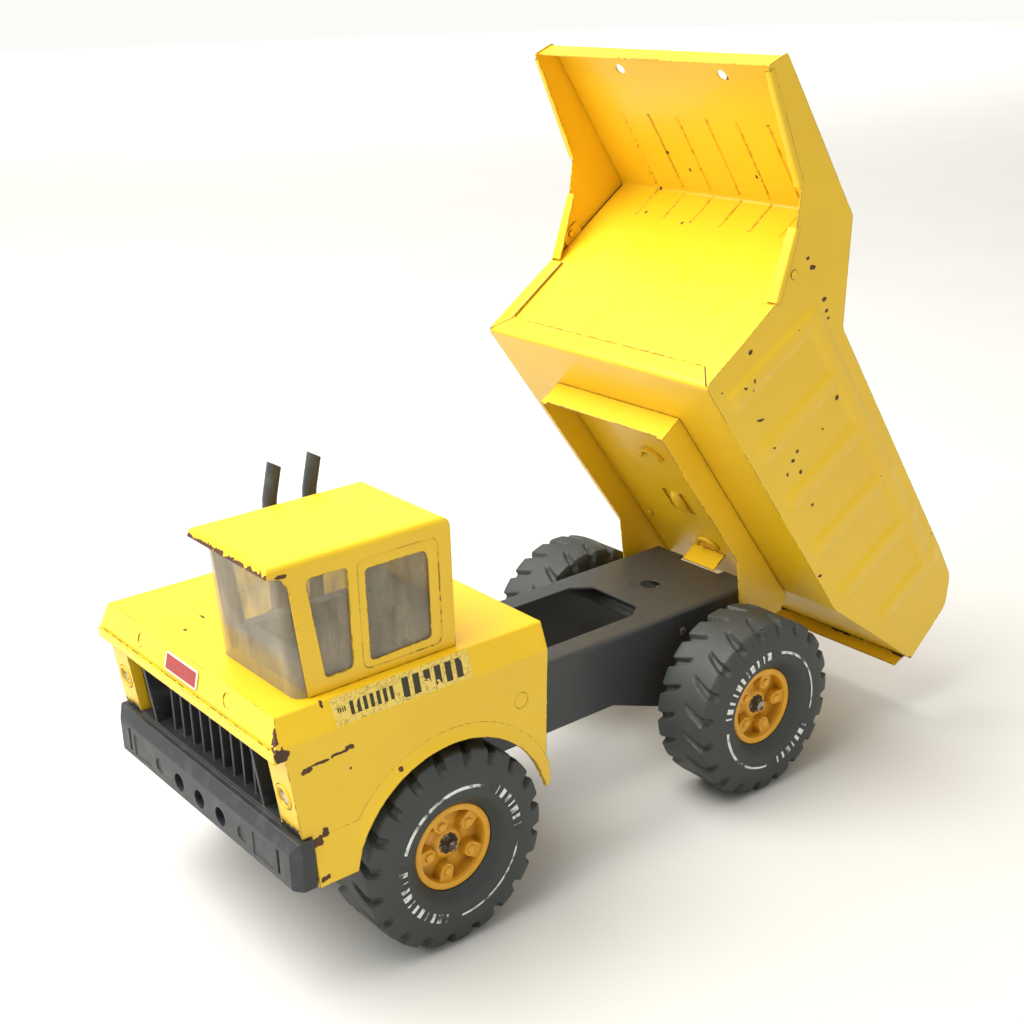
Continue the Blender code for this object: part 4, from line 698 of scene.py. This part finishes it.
for tag, (side, tyre_phase, hub_phase) in WHEELS.items():
    hub = make_hub(tag, side, hub_phase)
print("faces in a hub:", len(hub.data.polygons))

# %% [markdown]
# ## Push nuts
# A push nut is stamped from spring steel: a shallow crown, with teeth cut round its edge. The frame's plain
# ring is right in place and size, so the crown and teeth are drawn inside its box.

# %% Push nut geometry
NUT_TEETH = 10
STEPS_PER_TOOTH = 12


def make_push_nut(tag, side):
    """A toothed stamped cap near the end of an axle."""
    low, high = box_mm("push_nut_" + tag)
    centre_y = (low.y + high.y) / 2
    centre_z = (low.z + high.z) / 2
    edge = (high.z - low.z) / 2
    back, top = sorted((abs(low.x), abs(high.x)))
    bore = 3.05
    section = [(bore, top), (bore + 0.5, top), (bore + 1.0, top - 0.5), (bore + 1.4, back + 1.1)]
    section += [(edge - 0.9, back + 0.9), (edge - 0.1, back + 0.7), (edge, back + 0.4)]
    section += [(edge - 0.1, back), (bore, back)]
    rows = []
    for radius, x in section:
        row = []
        for step in range(NUT_TEETH * STEPS_PER_TOOTH):
            angle = math.tau * step / (NUT_TEETH * STEPS_PER_TOOTH)
            turn = abs((step / STEPS_PER_TOOTH) % 1.0 - 0.5)
            notch = 1.1 * (1 - soft_step(turn, 0.10, 0.20)) if radius > edge - 1.0 else 0.0
            row.append(turned(side, centre_y, centre_z, radius - notch, angle, x))
        rows.append(row)
    nut = make_piece("toothed_push_nut_" + tag, rows, (nut_steel,), "chassis",
                     (True, True), 30)
    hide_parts("push_nut_" + tag)


for tag, (side, tyre_phase, hub_phase) in WHEELS.items():
    make_push_nut(tag, side)
print("push nuts made:", len(WHEELS))

# %% [markdown]
# ## Headlights
# Each lamp is a thin cup pressed through its leaning panel: an enamelled rim round a dull disc. The frame's
# lamp has a bulb inside, but the real disc is nearly flat, so this piece takes its place.

# %% Headlight geometry
LAMP_LEAN = math.radians(7.0)
LAMP_STEPS = 64


def make_headlight(tag):
    """A rolled rim round a slightly domed disc."""
    low, high = box_mm("headlight_" + tag)
    centre = (low + high) / 2
    radius = (high.x - low.x) / 2
    front = -(high.y - low.y) / 2 + 0.9
    section = [(0.05, front + 0.5), (radius * 0.35, front + 0.55), (radius * 0.64, front + 0.8)]
    section += [(radius * 0.70, front + 0.9), (radius * 0.74, front + 0.1), (radius * 0.84, front - 0.3)]
    section += [(radius * 0.94, front), (radius, front + 0.5), (radius, front + 3.2), (0.05, front + 3.2)]
    rows = []
    for reach, depth in section:
        row = []
        for step in range(LAMP_STEPS):
            angle = math.tau * step / LAMP_STEPS
            point = Matrix.Rotation(LAMP_LEAN, 3, "X") @ Vector((reach * math.cos(angle), depth,
                                                                 reach * math.sin(angle)))
            row.append(centre + point)
        rows.append(row)
    lamp = make_piece("rimmed_lamp_" + tag, rows, (lamp_plating, hood_enamel), "chassis",
                      (False, True), 40, lambda row, column: int(row >= 3))
    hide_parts("headlight_" + tag)


for tag in ("left", "right"):
    make_headlight(tag)
print("lamps made: 2")

# %% [markdown]
# ## Pressed sides of the bed
# The bed's sides are stiffened by broad soft ribs that run into one long rib under the rim. The frame holds
# the ribs' crowns; their soft flanks are too fine for it. They could be a bump in the finish, but they catch
# light along their whole length, so they are a real pressed skin that covers the frame's ribs.

# %% Bed side skins
RIB_FIRST = 22.7
RIB_PITCH = 44.5
RIB_COUNT = 6
RIB_LEAN = 6.7
RIB_HEIGHT = 1.9
RIB_FOOT = 11.8            # where the ribs start above the floor
LAST_RIB_FOOT = 30.2       # the last one starts above the rising chute
RIB_RUN = 74.7             # height over which a rib leans back
SKIN_OFF = 0.04            # how far a skin lies off the sheet
SKIN_ROWS = 92
SKIN_COLUMNS = 192
SKIN_START = 4.0
SKIN_LENGTH = 286.0


def bed_relief(back, up):
    """Return how far the bed's side stands out, from the place along and above its floor."""
    place = (back - RIB_FIRST - RIB_LEAN * (up - RIB_FOOT) / RIB_RUN) / RIB_PITCH
    nearest = min(RIB_COUNT - 1, max(0, round(place)))
    foot = RIB_FOOT if nearest < RIB_COUNT - 1 else LAST_RIB_FOOT
    rib = 1 - soft_step(abs(place - nearest) * RIB_PITCH, 3.3, 8.0)
    rib *= soft_step(up, foot - 5.0, foot + 0.5)
    long_rib = 1 - soft_step(abs(up - 84.5 + 1.3 * max(0.0, place)), 2.6, 8.0)
    long_rib *= soft_step(back, 20.0, 30.0) * (1 - soft_step(back, 246.0, 262.0))
    return RIB_HEIGHT * max(rib * (1 - soft_step(up, 84.0, 92.0)), long_rib)


def make_bed_skin(name, side):
    """A thin pressed skin on one side of the tipped bed."""
    rows = []
    for row in range(SKIN_ROWS + 1):
        share = row / SKIN_ROWS
        line = []
        for column in range(SKIN_COLUMNS + 1):
            back = SKIN_START + SKIN_LENGTH * column / SKIN_COLUMNS
            foot = 2.6 + max(0.0, back - 205.0) * 0.335
            crown = 97.2 - max(0.0, back - 53.0) * 0.034 - max(0.0, back - 262.0) * 0.36
            up = foot + (crown - foot) * share
            out = SIDE + SKIN_OFF + bed_relief(back, up)
            line.append(bed_point(side * out, back, up))
        rows.append(line)
    make_piece(name, rows, (bed_enamel,), "bed", face_out=Vector((side, 0, 0)))


make_bed_skin("pressed_bed_side_left", 1)
make_bed_skin("pressed_bed_side_right", -1)
print("ribs on each side:", RIB_COUNT)

# %% [markdown]
# ## Flared fenders
# Below a soft crease the sheet flares out to the bumper and round the wheel arch, where it ends in a rolled
# edge. Each column of the grid runs in from the crease to the arch, so the roll follows the arch exactly.

# %% Fender skins
ARCH_RADIUS = 62.2
ARCH_BAND = 8.0            # width of the rolled band round the arch
FENDER_FRONT = -241.4
FENDER_REAR = -93.0
FENDER_LOW_Z = 69.9
FENDER_CREASE_Z = 96.5
FENDER_FLARE = 2.7
FRONT_COLUMNS = 9          # columns that fan down the front edge
ARCH_COLUMNS = 160
FENDER_ROWS = 24
TUCKED_IN = 0.3            # how far the skin's outline dips into the sheet
ROLL_BACK = (0.25, 0.8, 1.7, 2.6)


def fender_edge(degrees, centre_y, centre_z):
    """Return how far from the axle the crease is in one direction."""
    forward = math.cos(math.radians(degrees))
    upward = math.sin(math.radians(degrees))
    band = ARCH_RADIUS + ARCH_BAND
    if degrees > 90:
        least = band if degrees < 144 else ARCH_RADIUS + 1
        level = (FENDER_CREASE_Z - centre_z) / upward
        return max(min((FENDER_FRONT - centre_y) / forward, level), least)
    return min(band, (FENDER_REAR - centre_y) / forward) if degrees < 60 else band


def fender_columns(centre_y, centre_z):
    """Return each column as its angle round the arch and its outer end (y, z)."""
    first = math.degrees(math.asin((FENDER_LOW_Z - centre_z) / ARCH_RADIUS))
    corner_z = centre_z - (FENDER_FRONT - centre_y) * math.tan(math.radians(first))
    columns = []
    for step in range(FRONT_COLUMNS):
        z = FENDER_LOW_Z + (corner_z - FENDER_LOW_Z) * step / FRONT_COLUMNS
        columns.append((180 - first, (FENDER_FRONT, z)))
    for step in range(ARCH_COLUMNS + 1):
        degrees = 180 - first - (180 - 2 * first) * step / ARCH_COLUMNS
        reach = fender_edge(degrees, centre_y, centre_z)
        columns.append((degrees, (centre_y + reach * math.cos(math.radians(degrees)),
                                  centre_z + reach * math.sin(math.radians(degrees)))))
    return columns


def fender_relief(y, z, centre_y, centre_z):
    """Return how far the fender stands out of the hood's side: rolled at the arch, flared low in front."""
    reach = math.hypot(y - centre_y, z - centre_z) - ARCH_RADIUS
    roll = 1.25 * (1 - soft_step(reach, 1.5, ARCH_BAND)) + 0.9 * (1 - soft_step(reach, 0.0, 3.5))
    roll *= 0.25 + 0.75 * soft_step(y, FENDER_FRONT, FENDER_FRONT + 30)
    low_flare = FENDER_FLARE * soft_step(FENDER_CREASE_Z - z, 0.0, 24.0)
    low_flare *= 1 - soft_step(y, centre_y - 20, centre_y)
    return max(roll, low_flare)


def make_fender(name, side):
    """The flared band and rolled lip round one front wheel arch."""
    low, high = box_mm("tyre_front_left")
    centre_y = (low.y + high.y) / 2
    centre_z = (high.z - low.z) / 2
    columns = fender_columns(centre_y, centre_z)
    rows = []
    for row in range(-1, FENDER_ROWS + len(ROLL_BACK) + 1):
        share = min(1.0, max(0.0, row / FENDER_ROWS))
        line = []
        for degrees, (edge_y, edge_z) in columns:
            arch_y = centre_y + (ARCH_RADIUS + 0.15) * math.cos(math.radians(degrees))
            arch_z = centre_z + (ARCH_RADIUS + 0.15) * math.sin(math.radians(degrees))
            y = edge_y + (arch_y - edge_y) * share
            z = edge_z + (arch_z - edge_z) * share
            out = SIDE + SKIN_OFF + fender_relief(y, z, centre_y, centre_z)
            if row < 0:
                out = SIDE - TUCKED_IN
            if row > FENDER_ROWS:
                out -= ROLL_BACK[row - FENDER_ROWS - 1]
            line.append((side * out, y, z))
        inner = side * (SIDE - TUCKED_IN)
        rows.append([(inner, *line[0][1:])] + line + [(inner, *line[-1][1:])])
    make_piece(name, rows, (hood_enamel,), "chassis", sharp=50,
               face_out=Vector((side, 0, 0)))


make_fender("flared_fender_left", 1)
make_fender("flared_fender_right", -1)
print("flare:", FENDER_FLARE, "mm")

# %% [markdown]
# ## Folded edges of the bed
# Where the bed's sides pass the headboard, their front edges are folded inward to a narrow hem, and the
# canopy's lower edges are folded the same way. A modifier could thicken the edge, but a fold has its own
# width and roundness, so each is a small section drawn along its edge.

# %% Hems
HEM_SECTION = ((0.4, -3.0), (0.6, -0.2), (0.5, 0.5), (-0.1, 1.0), (-1.0, 1.1))
HEM_STEPS = 24
HEMS = {       # where each starts and stops, along and above the bed's floor, and its width
    "low": ((0.6, 66.5), (-23.6, 101.2), 8.0),
    "high": ((-41.0, 115.6), (-108.0, 129.6), 4.2),
}


def make_hem(name, side, start, stop, width):
    """A folded edge from start to stop, given along and above the bed's floor."""
    along = (Vector(stop) - Vector(start)).normalized()
    outward = Vector((-along.y, along.x))
    section = list(HEM_SECTION) + [(-width, 1.0), (-width - 0.3, 0.6), (-width, 0.1)]
    section += [(-0.6, 0.0), (-0.2, -3.0)]
    rows = []
    for step in range(HEM_STEPS + 1):
        share = step / HEM_STEPS
        centre = Vector(start).lerp(Vector(stop), share)
        taper = 1.0 - 0.25 * share
        line = []
        for out, rise in section:
            wobble = 0.25 * math.sin(step * 0.9) if out < -2 else 0.0
            point = centre + outward * rise
            line.append(bed_point(side * (SIDE + 0.1 + out * (taper if out < -2 else 1.0) + wobble),
                                  point.x, point.y))
        rows.append(line)
    make_piece(name, rows, (bed_enamel,), "bed", (False, True), 50)


for tag, (start, stop, width) in HEMS.items():
    for side_tag, side in (("left", 1), ("right", -1)):
        make_hem("folded_hem_" + tag + "_" + side_tag, side, start, stop, width)
print("hems made:", 2 * len(HEMS))

# %% [markdown]
# ## Seams
# The pressings meet in open joints that have filled with grime and rust: the mitred corners of the bed's
# front frame, the headboard's long corners and the hood's front crease. They could be cut, but such a joint
# is a hair wide, so each is a narrow ribbon just proud of the sheet, with a broken-up finish.


# %% Seam ribbons
def rusty_grime(name, solid_share):
    """Dark grime that breaks up into paint; solid_share is how much of the ribbon stays dark."""
    material, tree, place = start_material(name)
    cloud = add(tree, "TexNoise", {"Vector": place, "Scale": across(4), "Detail": 4.0})
    dark = add(tree, "MapRange", {"Value": cloud, "From Min": 0.62 - solid_share * 0.5,
                                  "From Max": 0.68 - solid_share * 0.5})
    rust = add(tree, "MixRGB", {"Fac": cloud, "Color1": linear("#1E140C"), "Color2": linear("#7A4A22")})
    colour = add(tree, "MixRGB", {"Fac": dark, "Color1": linear(YELLOW_DEEP), "Color2": rust})
    bump = add(tree, "Bump", {"Height": cloud, "Distance": 0.1 * MM, "Strength": 0.4})
    close_material(tree, {"Base Color": colour, "Roughness": 0.7, "Normal": bump})
    return material


def make_seam(name, points, width, across_way, off, finish, body):
    """A narrow ribbon through the points, widened one way and lifted another, all in mm."""
    rows = []
    for index in range(len(points) - 1):
        for step in range(9 if index == len(points) - 2 else 8):
            centre = Vector(points[index]).lerp(Vector(points[index + 1]), step / 8)
            wide = Vector(across_way).normalized() * width / 2
            rows.append([centre - wide + Vector(off), centre + wide + Vector(off)])
    make_piece(name, rows, (finish,), body, face_out=Vector(off))


dark_joint = rusty_grime("grimy_open_joint", 0.8)
broken_joint = rusty_grime("rust_flecked_joint", 0.28)
bed_forward = Vector(bed_point(0, -1, 0)) - Vector(bed_point(0, 0, 0))
bed_upward = Vector(bed_point(0, 0, 1)) - Vector(bed_point(0, 0, 0))
for side_tag, side in (("left", 1), ("right", -1)):
    mitre = [bed_point(side * (SIDE - 0.6), 0, 0.8), bed_point(side * (SIDE - 11.8), 0, 13.4)]
    make_seam("mitre_seam_" + side_tag, mitre, 1.1 if side > 0 else 0.9, (side, 0, 0), bed_forward * 0.08,
              dark_joint, "bed")
strip = [bed_point(-(SIDE - 11.4), 0, 13.4), bed_point(-(SIDE - 11.4), 0, 64.0)]
make_seam("strip_seam_right", strip, 0.9, (1, 0, 0), bed_forward * 0.08, dark_joint, "bed")
corner = [bed_point(-94.6, 1.2, 67.0), bed_point(-94.6, 1.2, 138.0)]
make_seam("board_seam_right", corner, 1.2, (1, 0, 0), bed_forward * 0.08, dark_joint, "bed")
board_line = [bed_point(-84.0, -0.06, 13.6), bed_point(84.0, -0.06, 13.6)]
make_seam("frame_seam_front", board_line, 0.5, bed_upward, bed_forward * 0.06, broken_joint, "bed")
hood_line = [(-92.0, hood_low.y + 0.9, 149.2), (92.0, hood_low.y + 0.9, 149.2)]
make_seam("hood_seam_front", hood_line, 0.8, (0, 0, 1), (0, -0.25, 0.1), broken_joint, "chassis")
print("seams made: 6")

# %% [markdown]
# ## Pressed dome of the pan
# Between the pan's two slots the sheet bulges out as a small dome. It is shallow and open behind, so it is
# laid on as a thin pressed sheet, worked out ring by ring.


# %% Dome
DOME_BACK = 134.0
DOME_WIDE = 4.9
DOME_LONG = 10.4
DOME_HIGH = 3.4
WEB_UNDER = 1.35           # how far the pan's web lies under the bed's floor


def make_dome():
    """A shallow oval dome between the pan's slots."""
    rows = []
    for ring in range(9):
        reach = 1.0 - ring / 8 * 0.98
        line = []
        for step in range(48):
            angle = math.tau * step / 48
            rise = WEB_UNDER + DOME_HIGH * math.sqrt(max(0.0, 1 - reach * reach))
            back = DOME_BACK + DOME_LONG * reach * math.sin(angle)
            line.append(bed_point(DOME_WIDE * reach * math.cos(angle), back, -rise))
        rows.append(line)
    make_piece("pressed_pan_dome", rows, (pan_enamel,), "bed", (False, True), 60,
               face_out=-bed_upward)


make_dome()
print("dome made")

# %% [markdown]
# ## Side label
# A water-slide label runs along the sloping shoulder below the cab. It is an amber film, yellowed and
# cracked, with a row of plain slanted bars. It could be painted into the enamel, but a real film has an
# edge that catches the light, so it is a thin sheet of its own, just off the steel.

# %% Label geometry and film
LABEL_FRONT = -223.0
LABEL_REAR = -141.0
LABEL_OFF = 0.12
CREASE_Z = 149.5            # the crease at the foot of the sloping shoulder
BEVEL_RUN = 6.1             # how far the shoulder leans in
LABEL_COLUMNS = 82
LABEL_ROWS = 14
LABEL_LOW_Z = 150.2
LABEL_HIGH_Z = 163.2
# Each group of bars: where it starts and stops along the label, its foot and crown, its count and its share
BAR_GROUPS = ((0.03, 0.09, 0.45, 0.62, 4, 0.6), (0.11, 0.44, 0.25, 0.72, 7, 0.55),
              (0.48, 0.96, 0.14, 0.84, 6, 0.60))


def printed_film(name, front, length, low_z, high_z):
    """Aged clear film: three groups of plain slanted bars, taller toward the rear, and cracks."""
    material, tree, place = start_material(name)
    parts = add(tree, "SeparateXYZ", {"Vector": place}, give="Y")
    u_place = add(tree, "MapRange", {"Value": parts, "From Min": front * MM,
                                     "From Max": (front + length) * MM})
    v_place = add(tree, "MapRange", {"Value": parts.node.outputs["Z"], "From Min": low_z * MM,
                                     "From Max": high_z * MM})
    printed = None
    for start, stop, foot, crown, count, share in BAR_GROUPS:
        across_group = add(tree, "MapRange", {"Value": u_place, "From Min": start, "From Max": stop,
                                              "To Max": float(count)})
        slanted = add(tree, "Math", {0: v_place, 1: -0.25, 2: across_group}, operation="MULTIPLY_ADD")
        bar = add(tree, "Math", {0: add(tree, "Math", {0: slanted}, operation="FRACT"), 1: share},
                  operation="LESS_THAN")
        for value, limit, test in ((u_place, start, "GREATER_THAN"), (u_place, stop, "LESS_THAN"),
                                   (v_place, foot, "GREATER_THAN"), (v_place, crown, "LESS_THAN")):
            kept = add(tree, "Math", {0: value, 1: limit}, operation=test)
            bar = add(tree, "Math", {0: bar, 1: kept}, operation="MULTIPLY")
        printed = bar if printed is None else add(tree, "Math", {0: printed, 1: bar}, operation="MAXIMUM")
    bent = add(tree, "TexNoise", {"Vector": place, "Scale": across(5)}, give="Color")
    wavy = add(tree, "MixRGB", {"Fac": 0.012, "Color1": place, "Color2": bent})
    cracks = add(tree, "TexVoronoi", {"Vector": wavy, "Scale": across(6)}, feature="DISTANCE_TO_EDGE")
    cracked = add(tree, "MapRange", {"Value": cracks, "From Min": 0.05, "From Max": 0.02, "To Max": 0.5})
    cloud = add(tree, "TexNoise", {"Vector": place, "Scale": across(9), "Detail": 4.0})
    film = add(tree, "MixRGB", {"Fac": cloud, "Color1": linear("#E4C04A"), "Color2": linear("#F0D878")})
    aged = add(tree, "MixRGB", {"Fac": cracked, "Color1": film, "Color2": linear("#8A6420")})
    flakes = add(tree, "Math", {0: cloud, 1: 0.63}, operation="LESS_THAN")
    ink = add(tree, "Math", {0: printed, 1: flakes}, operation="MULTIPLY")
    colour = add(tree, "MixRGB", {"Fac": ink, "Color1": aged, "Color2": linear("#3A3826")})
    bump = add(tree, "Bump", {"Height": cracks, "Distance": 0.1 * MM, "Strength": 0.3})
    close_material(tree, {"Base Color": colour, "Roughness": 0.30, "Normal": bump, "IOR": 1.5})
    return material


def make_label():
    """A thin film with its edges turned down on to the sloping shoulder."""
    low = Vector((SIDE - BEVEL_RUN * (LABEL_LOW_Z - CREASE_Z) / (hood_high.z - CREASE_Z), 0, LABEL_LOW_Z))
    high = Vector((SIDE - BEVEL_RUN * (LABEL_HIGH_Z - CREASE_Z) / (hood_high.z - CREASE_Z), 0, LABEL_HIGH_Z))
    slope = (high - low).normalized()
    off = Vector((slope.z, 0, -slope.x))
    rows = []
    for row in range(LABEL_ROWS + 1):
        line = []
        for column in range(LABEL_COLUMNS + 1):
            u = column / LABEL_COLUMNS
            v = row / LABEL_ROWS
            point = low.lerp(high, v)
            point.y = LABEL_FRONT + (LABEL_REAR - LABEL_FRONT) * u
            at_edge = row in (0, LABEL_ROWS) or column in (0, LABEL_COLUMNS)
            lift = 0.02 if at_edge else LABEL_OFF + 0.03 * math.sin(u * 19) * math.sin(v * 5 + u * 7)
            line.append(point + off * lift)
        rows.append(line)
    film = printed_film("aged_label_film", LABEL_FRONT, LABEL_REAR - LABEL_FRONT, LABEL_LOW_Z, LABEL_HIGH_Z)
    make_piece("side_label_left", rows, (film,), "chassis", face_out=off)


make_label()
print("label", LABEL_REAR - LABEL_FRONT, "mm long")

# %% [markdown]
# ## Badge
# A plain plate on the hood's front: red enamel inside a pale border. The border could be a second
# piece, but on the real kind of badge it is printed, so the recipe draws it from the plate's own outline.


# %% Badge finish
def badge_enamel():
    low, high = (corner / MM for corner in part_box("hood_badge"))
    material, tree, place = start_material("printed_badge_foil")
    borders = []
    for axis, inside in (("x", 0.92), ("z", 0.80)):
        start, stop = getattr(low, axis), getattr(high, axis)
        along = add(tree, "SeparateXYZ", {"Vector": place}, give=axis.upper())
        off = add(tree, "Math", {0: along, 1: (start + stop) / 2 * MM}, operation="SUBTRACT")
        share = add(tree, "Math", {0: off, 1: (stop - start) / 2 * MM}, operation="DIVIDE")
        from_middle = add(tree, "Math", {0: share}, operation="ABSOLUTE")
        borders.append(add(tree, "Math", {0: from_middle, 1: inside}, operation="GREATER_THAN"))
    border = add(tree, "Math", {0: borders[0], 1: borders[1]}, operation="MAXIMUM")
    cloud = add(tree, "TexNoise", {"Vector": place, "Scale": across(4), "Detail": 4.0})
    field = add(tree, "MixRGB", {"Fac": cloud, "Color1": linear("#8E1018"), "Color2": linear("#A42A2C")})
    colour = add(tree, "MixRGB", {"Fac": border, "Color1": field, "Color2": linear("#E8DCC0")})
    bump = add(tree, "Bump", {"Height": cloud, "Distance": 0.05 * MM, "Strength": 0.3})
    close_material(tree, {"Base Color": colour, "Roughness": 0.28, "Normal": bump, "IOR": 1.5})
    return material


# %% [markdown]
# ## Finishes on the frame's own pieces
# Most of the frame's solids have the right shape already, so they stay and only change material. A table
# from piece to finish is easier to check than a line for each.

# %% Give every carried-over piece its finish
FINISHES = {
    "front_body": hood_enamel, "cab_shell": cab_enamel, "bed_tub": bed_enamel, "bed_headboard": board_enamel,
    "hinge_pan": pan_enamel, "chassis_frame": chassis_enamel, "body_bracket": chassis_enamel,
    "frame_tie_tube": chassis_enamel, "grille_bumper": bumper_plastic, "window_insert": glazing,
    "cab_interior": cab_plastic, "hood_badge": badge_enamel(),
}
STARTS = {
    "exhaust_stack": stack_plastic, "axle_spacer": stack_plastic,
    "hinge_spacer": stack_plastic, "hinge_clip": zinc, "hinge_pin": zinc, "front_axle": zinc,
    "rear_axle": zinc, "headboard_rivet": bed_enamel, "pan_rivet": pan_enamel, "body_rivet": zinc,
    "bracket_rivet": zinc, "tie_rivet": zinc,
}
for name, node in frame["nodes"].items():
    if node.hide_render:
        continue
    finish = FINISHES.get(name) or next(m for start, m in STARTS.items() if name.startswith(start))
    for material_slot in node.material_slots:
        material_slot.material = finish
print("finished:", len([n for n in frame["nodes"].values() if not n.hide_render]))
